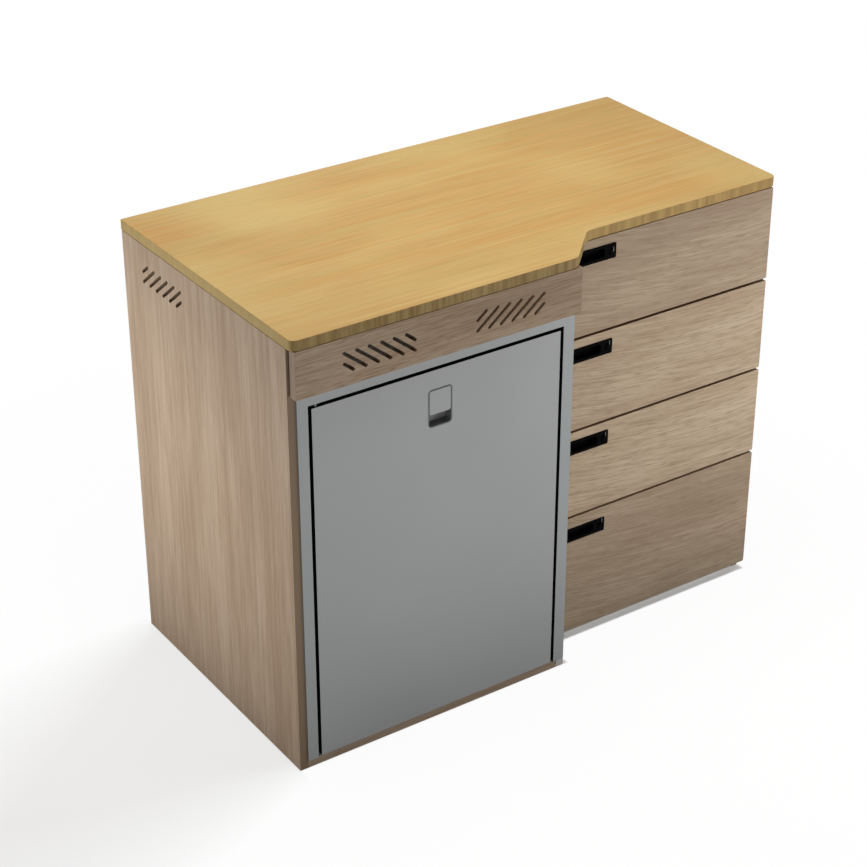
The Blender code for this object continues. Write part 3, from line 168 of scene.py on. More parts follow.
camera_data = bpy.data.cameras.new("photo_camera")
camera_data.lens = LENS
camera_data.sensor_width = SENSOR
camera_data.clip_start = 0.1
camera_data.clip_end = 50
camera = new_object("photo_camera", camera_data)
camera.location = CAMERA_PLACE
camera.rotation_euler = (radians(90 - CAMERA_DIP), 0, -radians(CAMERA_TURN))
bpy.context.scene.camera = camera
bpy.context.scene.view_settings.view_transform = "Standard"
print("distance to the pod's middle:", round((camera.location - POD_MIDDLE).length, 2), "m")

# %% [markdown]
# ## The floor's paper
#
# A pale studio sweep is what a product photographer would use. In the picture the floor is almost pure
# white and its shadows are faint, yet the foot of the pod is darker than its middle, so little light comes
# back up from the floor. One paper can't do both, and a renderer lets us cheat: where the camera or a shiny
# surface looks at the floor it is white paper, and for light on its way from the floor to the wood it is a
# dark grey one. The Light Path node knows which of the two is asked for.

# %% Floor paper
def seen_directly(add):
    """One where the camera looks, or looks by way of metal or glass, and nought for scattered light."""
    path = add("LightPath")
    seen = path.outputs["Is Camera Ray"]
    for ray in ("Is Glossy Ray", "Is Transmission Ray"):
        seen = add("Math", {0: seen, 1: path.outputs[ray]}, operation="MAXIMUM")
    return seen


floor_paper, add = new_finish("studio_floor_matt_paper", {"Roughness": 0.9, "Specular IOR Level": 0.0})
seen = seen_directly(add)
finished(floor_paper, add("Mix", {0: seen, 6: "#2C2B2B", 7: "#FBF8F4"}, data_type="RGBA"))
print("floor paper: white when seen, dark grey for scattered light")

# %% [markdown]
# ## The shade on the floor
#
# To the left of the side panel lies the pale shade that the pod throws there in the photo. A lamp placed to
# throw it would also change the light on the boards, so it is painted with nodes: the seen floor glows a
# little less between two lines that leave the panel's two feet and grow softer with distance. The lines
# start from the panel's own box, so the shade stays at its foot if the pod changes its size.

# %% Shade at the left
SHADE_EDGES = (-0.40, -0.12)
SHADE_BLUR = (0.35, 0.03)
SHADE_DROP = (-0.09, -0.19)
SHADE_REACH = 0.4
FOOT_EDGE = 2 * MM

place = add("TexCoord").outputs["Object"]
axes = add("SeparateXYZ", {0: place})
panel_low, panel_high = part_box("left_side_panel")
beside = add("Math", {0: panel_low.x, 1: axes}, operation="SUBTRACT")
blur = add("Math", {0: beside, 1: SHADE_BLUR[0], 2: SHADE_BLUR[1]}, operation="MULTIPLY_ADD")
shade = add("MapRange", {0: beside, 1: -FOOT_EDGE, 2: FOOT_EDGE})
for foot_y, slope, inward in ((panel_high.y, SHADE_EDGES[0], -1), (panel_low.y, SHADE_EDGES[1], 1)):
    edge_line = add("Math", {0: beside, 1: slope, 2: foot_y}, operation="MULTIPLY_ADD")
    inside = add("Math", {0: axes.outputs["Y"], 1: edge_line}, operation="SUBTRACT")
    in_blurs = add("Math", {0: inside, 1: blur}, operation="DIVIDE")
    within = add("MapRange", {0: in_blurs, 1: -inward, 2: inward})
    shade = add("Math", {0: shade, 1: within}, operation="MULTIPLY")
drop = add("MapRange", {0: beside, 1: 0.0, 2: SHADE_REACH, 3: SHADE_DROP[0], 4: SHADE_DROP[1]})
glow_strength = add("Math", {0: shade, 1: drop, 2: 1.0}, operation="MULTIPLY_ADD")
glow = add("Emission", {"Color": "#FFFFFF", "Strength": glow_strength})
print("shade between slopes", SHADE_EDGES, "from the side panel's feet")

# %% [markdown]
# ## Glow and ring
#
# The seen floor is mostly plain glow, which thins the shadows of the lamps; the rest is paper, which keeps
# a trace of them. Under the boards it hardly glows, so the thin dark line where a front stands over the
# floor stays. For scattered light a soft bright ring lies further out: the foot of a panel sees less of it
# than its middle does, and grows darker, as in the photo. The air outside is white to look at and dim in
# its light, for the same reason.

# %% Glow, ring and air
FLOOR_HALF = 12.0
GLOW_OPEN = 0.95
GLOW_RISE = (0.7, 1.4)
GLOW_SHADED = 0.80
UNDER_GLOW = 0.12
RING_LIGHT = 0.42
RING_REACH = (0.5, 0.8)
AIR_LIGHT = 0.07
SHADOW_ROOM = 0.05 * MM

away = add("VectorMath", {0: place}, operation="LENGTH")
open_glow = add("MapRange", {0: away, 1: GLOW_RISE[0], 2: GLOW_RISE[1], 3: GLOW_OPEN, 4: 1.0})
floor_glow = add("MapRange", {0: shade, 3: open_glow, 4: GLOW_SHADED})
glow_share = add("Math", {0: seen, 1: floor_glow}, operation="MULTIPLY")
for first_node, last_node in (("left_side_panel", "divider_panel"), ("drawer_4_front", "right_side_panel")):
    first_box, last_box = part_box(first_node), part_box(last_node)
    low = Vector([min(pair) for pair in zip(first_box[0], last_box[0])])
    high = Vector([max(pair) for pair in zip(first_box[1], last_box[1])])
    from_middle = add("VectorMath", {0: place, 1: (low + high) / 2}, operation="SUBTRACT")
    mirrored = add("VectorMath", {0: from_middle}, operation="ABSOLUTE")
    past_side = add("VectorMath", {0: mirrored, 1: (high - low) / 2}, operation="SUBTRACT")
    beyond = add("SeparateXYZ", {0: past_side})
    outside = add("Math", {0: beyond, 1: beyond.outputs["Y"]}, operation="MAXIMUM")
    open_floor = add("MapRange", {0: outside, 1: -FOOT_EDGE, 2: FOOT_EDGE, 3: UNDER_GLOW, 4: 1.0})
    glow_share = add("Math", {0: glow_share, 1: open_floor}, operation="MULTIPLY")
ring_rise = add("MapRange", {0: away, 1: RING_REACH[0], 2: RING_REACH[1], 3: 0.0, 4: RING_LIGHT})
ring_strength = add("MapRange", {0: seen, 3: ring_rise, 4: 0.0})
ring = add("Emission", {"Color": "#FFFFFF", "Strength": ring_strength})
paper_and_ring = add("AddShader", {0: floor_paper.node_tree.nodes["Principled BSDF"], 1: ring})
floor_mix = add("MixShader", {0: glow_share, 1: paper_and_ring, 2: glow})
fill(floor_paper.node_tree.nodes["Material Output"], {"Surface": floor_mix})

floor_mesh = bpy.data.meshes.new("studio_floor")
floor_corners = [(side_x * FLOOR_HALF, side_y * FLOOR_HALF, 0)
                 for side_x, side_y in ((-1, -1), (1, -1), (1, 1), (-1, 1))]
floor_mesh.from_pydata(floor_corners, [], [(0, 1, 2, 3)])
floor_mesh.materials.append(floor_paper)
studio_floor = new_object("studio_floor", floor_mesh)
studio_floor.location.z = -SHADOW_ROOM

air = bpy.data.worlds.new("studio_air")
bpy.context.scene.world = air
air.use_nodes = True
add = partial(add_node, air)
air_strength = add("MapRange", {0: seen_directly(add), 3: AIR_LIGHT, 4: 1.0})
fill(air.node_tree.nodes["Background"], {"Color": "#FFFFFF", "Strength": air_strength})
print("floor glow share in the shade:", GLOW_SHADED, "air light:", AIR_LIGHT)

# %% [markdown]
# ## Lamps
#
# The lamps are round softboxes. A large one hangs straight over the worktop, since the top is the
# brightest face. Small ones stand close by at the height of a chair and light the side panel, the door
# and the fronts most at their middles. One on the right and one behind light the sides that the camera
# doesn't see.
#
# A lamp is written as a photographer would say it: turned so many degrees round the pod from the front,
# so many degrees up, so many metres away, so many metres across, and its watts.

# %% Lamps
LAMPS = {
    "top_soft": (0, 89, 2.0, 1.4, 28), "left_rear_near": (-120, 3, 1.15, 0.5, 1.7),
    "left_near": (-92, 3, 1.15, 0.5, 2.15), "front_near": (-25, 3, 1.15, 0.5, 1.8),
    "front_right_near": (36, 6, 1.2, 0.5, 4.85), "right_near": (100, 6, 1.3, 0.6, 2.8),
    "back_near": (165, 12, 1.5, 0.8, 4.0),
}

for lamp_name, (turn, height, reach, size, watts) in LAMPS.items():
    lamp_data = bpy.data.lights.new(lamp_name, "AREA")
    lamp_data.shape = "DISK"
    lamp_data.size = size
    lamp_data.energy = watts
    lamp = new_object(lamp_name, lamp_data)
    round_pod, up = radians(turn), radians(height)
    towards = Vector((sin(round_pod) * cos(up), -cos(round_pod) * cos(up), sin(up)))
    lamp.location = POD_MIDDLE + towards * reach
    lamp.rotation_euler = towards.to_track_quat("Z", "Y").to_euler()
    lamp.visible_camera = False
print("lamps:", ", ".join(LAMPS))

# %% [markdown]
# ## Grain space
#
# All the boards here are wood, and wood is a pattern that is long along the grain and narrow across it.
# A noise texture has no direction of its own, so each board gets its own grain space: the place on the
# board in millimetres, pressed together along the grain, and moved by a few hundred millimetres so that
# no two boards are cut from the same spot. A noise of scale one over n then has marks about n mm wide.
# Where a trunk was curved the grain bends too, so a board may give the place where its lines run level
# and how fast they bend away from there.

# %% Grain space helpers
GRAIN_WAVE = 120


def grain_space(add, along, press, start=(0, 0, 0), wave_mm=0, arch=None):
    """The place on a board in millimetres, pressed along the grain; along is 0, 1 or 2 for X, Y or Z."""
    place = add("TexCoord").outputs["Object"]
    if arch:
        off_level = add("Math", {0: add("SeparateXYZ", {0: place}), 1: arch[0]}, operation="SUBTRACT")
        square = add("Math", {0: off_level, 1: off_level}, operation="MULTIPLY")
        bend = add("Math", {0: square, 1: -arch[1]}, operation="MULTIPLY")
        place = add("VectorMath", {0: place, 1: add("CombineXYZ", {"Z": bend})}, operation="ADD")
    if wave_mm:
        drift = add("TexNoise", {"Vector": place, "Scale": 1 / (GRAIN_WAVE * MM), "Detail": 1.0})
        place = add("VectorMath", {0: drift.outputs["Color"], 1: (wave_mm * MM,) * 3, 2: place},
                    operation="MULTIPLY_ADD")
    scale = [1 / MM] * 3
    scale[along] /= press
    return add("Mapping", {"Vector": place, "Location": start, "Scale": scale})


def facing(add, axis):
    """How squarely a face looks along an axis, from nought to one."""
    normal = add("SeparateXYZ", {0: add("TexCoord").outputs["Normal"]})
    return add("Math", {0: normal.outputs[axis]}, operation="ABSOLUTE")


print("grain waves", GRAIN_WAVE, "mm long")

# %% [markdown]
# ## Caramel bamboo
#
# The worktop is pressed from strips of steamed bamboo, laid side by side along its length, sanded, and
# oiled to a low satin. The eye sees long streaks that go from straw to orange and olive, hair-fine darker
# fibres, and a few broad paler clouds, partly where the strips differ and partly a painted sheen of
# reflected light. On the edges the strips are cut across, so they show as short upright stripes, a good
# deal darker, because cut ends drink more oil. Over the drawers the front edge is painted paler than over
# the fascia: a painted highlight for the stronger light that falls there.

# %% Bamboo
BAMBOO_STREAK = 8
BAMBOO_PRESS = 34
BAMBOO_FIBRE = 2.2
BAMBOO_CLOUD_AND_SHEEN = 190
BAMBOO_CUT = 9.0
# where the front edge changes to its painted highlight, a paler tone over the drawers
BAMBOO_EDGE_HIGHLIGHT_SPAN = [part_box("drawer_1_front")[0].x + shift * MM for shift in (30, 50)]

bamboo, add = new_finish("oiled_caramel_bamboo_strips", {
    "Roughness": 0.55, "IOR": 1.45, "Specular IOR Level": 0.12})
long_place = grain_space(add, 0, BAMBOO_PRESS, (40, 70, 0))
streaks = add("TexNoise", {
    "Vector": long_place, "Scale": 1 / BAMBOO_STREAK, "Detail": 3.0, "Roughness": 0.6, "Distortion": 0.4})
warmth = add("TexNoise", {"Vector": long_place, "Scale": 0.4 / BAMBOO_STREAK, "Detail": 2.0})
fibres = add("TexNoise", {"Vector": long_place, "Scale": 1 / BAMBOO_FIBRE, "Detail": 3.0, "Roughness": 0.7})
# broad paler clouds: partly strip tone, partly a painted sheen of reflected light
clouds = add("TexNoise", {
    "Vector": grain_space(add, 0, 1.6, (90, 20, 0)), "Scale": 1 / BAMBOO_CLOUD_AND_SHEEN, "Detail": 1.5})
tone = add("ValToRGB", {"Fac": streaks}, stops=(
    (0.32, "#C79F60"), (0.45, "#CCA466"), (0.55, "#CFA96C"), (0.68, "#D4B274")))
for marks, low, high, colour, share in (
        (warmth, 0.50, 0.66, "#C8AB68", 0.5), (warmth, 0.50, 0.34, "#D29F5C", 0.5),
        # the clouds' pale tint is partly a painted sheen of reflected light
        (clouds, 0.44, 0.68, "#DCC07E", 0.7), (fibres, 0.54, 0.74, "#AD8648", 0.32)):
    tone = tint(add, tone, marks, low, high, colour, share)

cut_ends = add("TexNoise", {
    "Vector": grain_space(add, 2, 20), "Scale": 1 / BAMBOO_CUT, "Detail": 3.0, "Roughness": 0.65})
# the third pair is the front edge over the drawers, painted paler: a painted highlight
end_tone, front_tone, painted_highlight_edge_tone = [
    tint(add, dark, cut_ends, 0.34, 0.66, pale)
    for dark, pale in (("#B3985F", "#BEA369"), ("#836B42", "#A0885A"), ("#9F8150", "#B8995F"))]
# painted highlight: the front edge over the drawers is painted paler, where more light falls
level = add("SeparateXYZ", {0: add("TexCoord").outputs["Object"]})
front_tone = tint(add, front_tone, level, BAMBOO_EDGE_HIGHLIGHT_SPAN[0], BAMBOO_EDGE_HIGHLIGHT_SPAN[1], painted_highlight_edge_tone)
tone = tint(add, tone, facing(add, "X"), 0.35, 0.75, end_tone)
tone = tint(add, tone, facing(add, "Y"), 0.35, 0.75, front_tone)
finished(bamboo, tone, fibres, 0.05, (fibres, 0.50, 0.62))
print("bamboo streaks", BAMBOO_STREAK, "mm wide and", BAMBOO_STREAK * BAMBOO_PRESS, "mm long")

# %% [markdown]
# ## Limed oak veneer
#
# The side panel, the fascia and the drawer fronts are plywood with a face of limed oak, brushed and
# left matt. Oak has four things to draw: broad soft bands where the growth was fast or slow, streaks
# about a centimetre apart, narrow lines a few millimetres apart, and short dark pores that follow the
# grain. The brushing leaves the pores a little open, so they also go into the relief. Lime stays in the
# wood between them and gives it a greyish pink cast.
#
# On a drawer front the grain runs level at the right end, bends towards the left and wanders a little, as
# veneer from a curved trunk does. The four fronts wear leaves of one veneer, so their grain is alike; their
# tones are painted a little apart by the light each front gets, with painted shade on the top one under the
# worktop and on the bottom one near the floor. On the side panel the grain stands upright and is softer.
# The long edges are banded with a strip; on the side panel's front edge and on the fronts' top and bottom
# edges it is painted darker, as painted shade where they stand in shade and in the gaps between the fronts.
# Only the walls of the routed slots show the bare core, painted paler as a painted highlight for the light
# that shows through the slots.

# %% Oak
# Each pattern's width in mm, how many times longer it is along the grain, its detail and its roughness
OAK_MARKS = {
    "bands": (60, 7, 2.0, 0.5), "streaks": (8, 26, 3.0, 0.6), "lines": (3.2, 30, 1.0, 0.5),
    "fine": (1.8, 30, 1.0, 0.5), "pores": (1.6, 19, 1.0, 0.5),
}
OAK_TONES = ("#AD947C", "#B9A189", "#C6AF98")
DARK_OAK_TONES = ("#97826D", "#A38E78", "#AF9B86")
# painted light and shade: each front's tone is made darker or lighter by the light it gets, darkest on
# drawer_1 and drawer_4
FRONT_OAK_PAINTED_LIGHT_TONES = {
    "drawer_1": ("#A38D77", "#AD9881", "#B7A48C"), "drawer_2": ("#AE977F", "#B9A38A", "#C3AF96"),
    "drawer_3": ("#B39D84", "#BEA98F", "#C9B49B"), "drawer_4": ("#A18C76", "#AB9780", "#B6A28B"),
}
FRONT_ARCH = 0.215
SHEET_SHIFT = 75


def limed_oak(name, along, start=(0, 0, 0), tones=OAK_TONES, line_share=0.26, wave_mm=2.5,
              edge=None, wall_axis=None, arch=None):
    """Brushed and limed oak veneer; along is the grain's axis, edge an axis and the tone of its banding,
    which is painted shade on some boards, and wall_axis the board's thin axis, whose slot walls are painted
    paler as a painted highlight.
    """
    finish, add = new_finish(name, {"Roughness": 0.65, "IOR": 1.45, "Specular IOR Level": 0.15})
    marks = {}
    for kind, (width, press, detail, roughness) in OAK_MARKS.items():
        wandering = (0, None) if kind == "bands" else (wave_mm, arch)
        marks[kind] = add("TexNoise", {
            "Vector": grain_space(add, along, press, start, *wandering), "Scale": 1 / width,
            "Detail": detail, "Roughness": roughness})
    growth = add("Mix", {0: 0.5, 2: marks["bands"], 3: marks["streaks"]}, data_type="FLOAT")
    tone = add("ValToRGB", {"Fac": growth}, stops=((0.38, tones[0]), (0.50, tones[1]), (0.62, tones[2])))
    for kind, low, high, share, dark in (("lines", 0.50, 0.64, 1.0, "#8A745A"),
                                         ("fine", 0.50, 0.68, 0.6, "#8A745A"),
                                         ("pores", 0.56, 0.68, 1.3, "#84654C")):
        depth = add("MapRange", {0: marks[kind], 1: low, 2: high, 4: share * line_share})
        tone = add("Mix", {0: depth, 6: tone, 7: dark}, data_type="RGBA")
    # the banding tone, painted darker as shade on the side panel's front edge and the fronts' top and bottom
    # edges
    if edge is not None:
        tone = tint(add, tone, facing(add, edge[0]), 0.5, 0.85, edge[1])
    if wall_axis is not None:
        normal = add("SeparateXYZ", {0: add("TexCoord").outputs["Normal"]})
        lean = add("Math", {0: normal.outputs[(wall_axis + 1) % 3], 1: normal.outputs[(wall_axis + 2) % 3]},
                   operation="MULTIPLY")
        steep = add("Math", {0: lean}, operation="ABSOLUTE")
        # the slot walls show the core, painted paler: partly a painted highlight for the light seen through
        # the slots
        tone = tint(add, tone, steep, 0.05, 0.2, "#A59078")
    return finished(finish, tone, depth, 0.07, sunk=True)


panel_oak = limed_oak("limed_oak_veneer_upright", 2, (310, 90, 0), line_share=0.13, wave_mm=5,
                      # the panel's front edge banding is painted darker: painted shade, as that edge stands
                      # in shade
                      edge=(1, "#86735F"), wall_axis=0)
fascia_oak = limed_oak("limed_oak_veneer_fascia", 0, (0, 120, 40), DARK_OAK_TONES, 0.5,
                       edge=(0, "#A18D7B"), wall_axis=1)
base_oak = limed_oak("limed_oak_veneer_base_board", 0, (60, 20, 200), DARK_OAK_TONES)
print("oak lines every", OAK_MARKS["lines"][0], "mm, pores", OAK_MARKS["pores"][0], "mm wide")

# %% [markdown]
# ## Birch plywood
#
# What is seldom seen is plainer. The drawer boxes, rails and back are sanded birch plywood: pale, with a
# faint wavy figure on the faces and dark and light layers at the edges.

# %% Birch
PLY_LAYER = 1.5
BIRCH_FIGURE = 22
BIRCH_FLECK = 1.6


def birch_ply(name, along, thin):
    """Sanded birch plywood; along is the face grain's axis, thin the axis of the board's thickness."""
    finish, add = new_finish(name, {"Roughness": 0.55, "IOR": 1.45, "Specular IOR Level": 0.2})
    space = grain_space(add, along, 10, (20, 160, 90))
    figure = add("TexNoise", {"Vector": space, "Scale": 1 / BIRCH_FIGURE, "Detail": 3.0, "Distortion": 1.2})
    flecks = add("TexNoise", {"Vector": space, "Scale": 1 / BIRCH_FLECK, "Detail": 1.0})
    tone = add("ValToRGB", {"Fac": figure}, stops=((0.3, "#CDB389"), (0.52, "#D8C29B"), (0.7, "#DFCDAA")))
    tone = tint(add, tone, flecks, 0.62, 0.74, "#B59669", 0.4)
    place = add("SeparateXYZ", {0: add("TexCoord").outputs["Object"]})
    layer = add("Math", {0: place.outputs[thin], 1: PLY_LAYER * MM}, operation="PINGPONG")
    share = add("MapRange", {0: layer, 1: 0.0, 2: PLY_LAYER * MM})
    plies = add("ValToRGB", {"Fac": share}, stops=((0.4, "#A98557"), (0.6, "#D6C198")))
    return finished(finish, tint(add, tone, facing(add, thin), 0.8, 0.3, plies), flecks, 0.03)


birch_side = birch_ply("sanded_birch_ply_side", 1, 0)
birch_across = birch_ply("sanded_birch_ply_across", 0, 1)
birch_flat = birch_ply("sanded_birch_ply_flat", 0, 2)
print("ply layers of", PLY_LAYER, "mm")

# %% [markdown]
# ## One recipe for even skins
#
# Laminate, powder coat and moulded plastic have little in common on the bench, but the eye reads all
# three the same way: a colour that drifts a hair over a hand's breadth, and a fine relief that is part of
# how the skin was made. So one function draws them all. It takes two close colours, the roughness, which
# changes a little with the relief, and the size and depth of that relief in millimetres.

# %% Even skins
def even_skin(name, colours, roughness, grit_mm, depth_mm, cloud_mm=120, specular=0.4):
    """A skin whose colour drifts between two near ones, with a fine relief grit_mm wide."""
    finish, add = new_finish(name, {"IOR": 1.5, "Specular IOR Level": specular})
    place = grain_space(add, 0, 1)
    grit = add("TexNoise", {"Vector": place, "Scale": 1 / grit_mm, "Detail": 2.0, "Roughness": 0.55})
    cloud = add("TexNoise", {"Vector": place, "Scale": 1 / cloud_mm, "Detail": 1.0})
    tone = tint(add, colours[0], cloud, 0.35, 0.65, colours[1])
    return finished(finish, tone, grit, depth_mm, (grit, roughness + 0.05, roughness - 0.05))


print("one recipe for laminate, coats and plastics")

# %% [markdown]
# ## Coats, laminate and plastics
#
# The fridge's frame and door are sheet steel with a fine powder coat in a neutral grey, with an orange
# peel of about 1.5 mm that shows only close up. The frame is a hair bluer than the door, since the two
# come from different batches. The divider and the board under the drawers wear a grey laminate, printed
# even and pressed with a fine pearl texture. Black ABS for the pulls takes a spark-eroded texture from its
# mould and hardly shines. The fridge's inner walls are white polystyrene, drawn over a mould by vacuum.

# %% Coats, laminate and plastics
laminate = even_skin("pressed_grey_laminate", ("#BDBBB7", "#C4C2BE"), 0.5, 1.2, 0.04, 60)
door_coat = even_skin("powder_coated_steel_door", ("#A4A5A5", "#A6A7A7"), 0.5, 1.5, 0.010, 160)
frame_coat = even_skin("powder_coated_steel_frame", ("#9FA2A2", "#A2A5A5"), 0.5, 1.5, 0.010, 160)
shell_coat = even_skin("powder_coated_steel_shell", ("#8E9090", "#929494"), 0.5, 2.5, 0.03, 160)
black_enamel = even_skin("stoved_black_enamel_steel", ("#17181A", "#1D1E20"), 0.38, 3.0, 0.03, 160)
pull_abs = even_skin("spark_textured_black_abs", ("#010101", "#020202"), 0.75, 0.9, 0.02, 70, 0.03)
recess_abs = even_skin("spark_textured_dark_grey_abs", ("#747575", "#7A7B7B"), 0.6, 0.9, 0.02, 70)
fan_abs = even_skin("moulded_black_glass_filled_nylon", ("#15161A", "#1C1D20"), 0.45, 1.6, 0.03, 70)
liner_styrene = even_skin("vacuum_formed_white_polystyrene", ("#DFE2E2", "#E5E8E8"), 0.36, 30.0, 0.06, 200)
knob_styrene = even_skin("moulded_white_abs", ("#DCDDDC", "#E3E4E3"), 0.36, 1.2, 0.015, 70)
seal_rubber = even_skin("extruded_black_pvc_seal", ("#1B1B1C", "#232324"), 0.6, 1.4, 0.03, 90)
# matt black finish painted into the gap round the door: painted shade
gap_shade_black = even_skin("matt_black_painted_gap_shade", ("#060606", "#0B0B0B"), 0.85, 0.8, 0.03, 60, 0.05)
light_grey_mark = even_skin("light_grey_button_mark", ("#5E5E5C", "#686866"), 0.6, 0.5, 0.004, 20)
dial_ink = even_skin("printed_grey_ink", ("#55585A", "#5C5F61"), 0.5, 0.6, 0.005, 20)
print("even skins ready")

# %% [markdown]
# ## Clear styrene and foam
#
# Shelves, racks and the bin are clear moulded polystyrene, a little blue in its thickness, with faint flow
# marks from the mould. The foam behind the walls was blown in between the skins; where it shows at all it
# is cream, with small open bubbles where it was cut.

# %% Clear styrene and foam
FLOW_MARK = 30
FOAM_BUBBLE = 2.2

clear_plastic, add = new_finish("clear_moulded_polystyrene", {"IOR": 1.59, "Transmission Weight": 0.85})
flow = add("TexNoise", {
    "Vector": grain_space(add, 0, 3), "Scale": 1 / FLOW_MARK, "Detail": 2.0, "Distortion": 0.6})
finished(clear_plastic, tint(add, "#EAF2F5", flow, 0.3, 0.7, "#F4F9FA"), shine=(flow, 0.06, 0.15))

foam, add = new_finish("blown_polyurethane_foam", {"Roughness": 0.9, "Specular IOR Level": 0.1})
bubbles = add("TexVoronoi", {"Vector": grain_space(add, 0, 1), "Scale": 1 / FOAM_BUBBLE})
finished(foam, tint(add, "#CDBB8A", bubbles, 0.0, 0.6, "#E0D3AB"), bubbles, 0.4)
print("flow marks", FLOW_MARK, "mm wide, bubbles", FOAM_BUBBLE, "mm")

# %% [markdown]
# ## Bright metals
#
# The runners are rolled from zinc-plated strip: brushed fine along their length by the rolls, faintly
# blue, with small cloudy changes from the plating bath. The freezer box is stucco-pressed aluminium, a
# sheet with shallow dimples so that ice lets go, and the compressor's pipes are drawn copper, a little
# browned in places.

# %% Metals
STUCCO_DIMPLE = 4.0
STUCCO_CLOUD = 40


def brushed_metal(name, colours, along, roughness=0.32, line_mm=0.7, cloud_mm=35):
    """Rolled or drawn metal with fine lines along one axis and clouds of plating."""
    finish, add = new_finish(name, {"Metallic": 1.0})
    lines = add("TexNoise", {"Vector": grain_space(add, along, 30), "Scale": 1 / line_mm, "Detail": 2.0})
    clouds = add("TexNoise", {"Vector": grain_space(add, along, 2), "Scale": 1 / cloud_mm, "Detail": 3.0})
    tone = tint(add, colours[0], clouds, 0.3, 0.7, colours[1])
    return finished(finish, tone, lines, 0.01, (lines, roughness - 0.07, roughness + 0.09))


zinc = brushed_metal("rolled_zinc_plated_steel", ("#B9BEC4", "#CBCFD3"), 1)
screw_steel = brushed_metal("bright_zinc_plated_screw", ("#BFC2C4", "#D2D4D6"), 0, 0.28)
bail_steel = brushed_metal("bright_drawn_steel_wire", ("#C6C9CC", "#D6D8DA"), 0, 0.22)
copper = brushed_metal("drawn_copper_tube", ("#B87352", "#C98A66"), 2, 0.3, 0.8, 18)

aluminium, add = new_finish("stucco_pressed_aluminium", {"Metallic": 1.0, "Roughness": 0.3})
place = grain_space(add, 0, 1)
stucco = add("TexVoronoi", {"Vector": place, "Scale": 1 / STUCCO_DIMPLE}, feature="SMOOTH_F1")
cloud = add("TexNoise", {"Vector": place, "Scale": 1 / STUCCO_CLOUD, "Detail": 2.0})
finished(aluminium, add("Mix", {0: cloud, 6: "#CDD0D2", 7: "#DADCDE"}, data_type="RGBA"), stucco, 0.25)
print("stucco dimples", STUCCO_DIMPLE, "mm wide")

# %% [markdown]
# ## Broken edges
#
# No real edge is a mathematical line: a router, a file or the paint rounds it by a few tenths of a
# millimetre, and that thin curve is what catches the light. The CAD nodes come as loose triangles, so a
# stack of modifiers first welds them and merges the flat ones, then bevels what is sharper than 35
# degrees, and last shades smooth with normals weighted by area. The meshes themselves stay untouched.

# %% Edge helpers
def add_modifier(piece, name, kind, **settings):
    """Add one modifier with its settings."""
    made = piece.modifiers.new(name, kind)
    for setting, value in settings.items():
        setattr(made, setting, value)


def geometry_group(name):
    """Start a geometry nodes group; returns it with its way in and its way out."""
    group = bpy.data.node_groups.new(name, "GeometryNodeTree")
    for way in ("INPUT", "OUTPUT"):
        group.interface.new_socket("Geometry", in_out=way, socket_type="NodeSocketGeometry")
    return group, group.nodes.new("NodeGroupInput").outputs[0], group.nodes.new("NodeGroupOutput").inputs[0]


smooth_group, group_in, group_out = geometry_group("shade_smooth")
smooth_faces = smooth_group.nodes.new("GeometryNodeSetShadeSmooth")
smooth_group.links.new(group_in, smooth_faces.inputs[0])
smooth_group.links.new(smooth_faces.outputs[0], group_out)


def break_edges(piece, width_mm, segments=2):
    """Round a piece's sharp edges by width_mm and shade it smooth."""
    add_modifier(piece, "weld", "WELD", merge_threshold=0.01 * MM)
    add_modifier(piece, "merge_flat", "DECIMATE", decimate_type="DISSOLVE", angle_limit=radians(0.5))
    if width_mm > 0:
        add_modifier(piece, "broken_edge", "BEVEL", width=width_mm * MM, segments=segments,
                     limit_method="ANGLE", angle_limit=radians(35), use_clamp_overlap=True)
    add_modifier(piece, "smooth", "NODES", node_group=smooth_group)
    add_modifier(piece, "shading", "WEIGHTED_NORMAL", keep_sharp=False, weight=90)


def dress(name, finish, edge_mm=0.3, segments=2):
    """Give a CAD node its finish and its broken edges."""
    nodes[name].data.materials.clear()
    nodes[name].data.materials.append(finish)
    break_edges(nodes[name], edge_mm, segments)


print("edge helpers: break_edges for any piece, dress for a CAD node")

# %% [markdown]
# Some nodes are two things on the bench but one solid in the model: each side panel carries the outer
# members of the runners, and each drawer box the inner ones. The mesh may not be changed, but a geometry
# nodes modifier can paint the faces whose middles lie inside a box, after the flat ones were merged.

# %% Second finish helper
def second_finish(name, finish, low=(-1, -1, 0), high=(1, 1, 1)):
    """Give the faces of a node whose middles lie between two corners another finish."""
    group, group_in, group_out = geometry_group(name + "_second_finish")
    paint = group.nodes.new("GeometryNodeSetMaterial")
    paint.inputs["Material"].default_value = finish
    place = group.nodes.new("GeometryNodeInputPosition")
    both = group.nodes.new("FunctionNodeBooleanMath")
    for socket, operation, corner in ((0, "GREATER_THAN", low), (1, "LESS_THAN", high)):
        beyond = group.nodes.new("FunctionNodeCompare")
        beyond.data_type = "VECTOR"
        beyond.mode = "ELEMENT"
        beyond.operation = operation
        beyond.inputs[5].default_value = corner
        group.links.new(place.outputs[0], beyond.inputs[4])
        group.links.new(beyond.outputs[0], both.inputs[socket])
    group.links.new(both.outputs[0], paint.inputs["Selection"])
    group.links.new(group_in, paint.inputs["Geometry"])
    group.links.new(paint.outputs[0], group_out)
    stack = nodes[name].modifiers
    add_modifier(nodes[name], "second_finish", "NODES", node_group=group)
    stack.move(len(stack) - 1, stack.find("merge_flat") + 1)


print("second finish goes on right after the flat faces are merged")

# %% [markdown]
# ## Dress the carcass
#
# A table says which board wears what and how far its edges are broken: the worktop has a routed round edge
# of about a millimetre, the veneered boards are only eased. A table is easier to check against a cutting
# list than a row of calls. The runner members screwed to the panels then get their zinc.

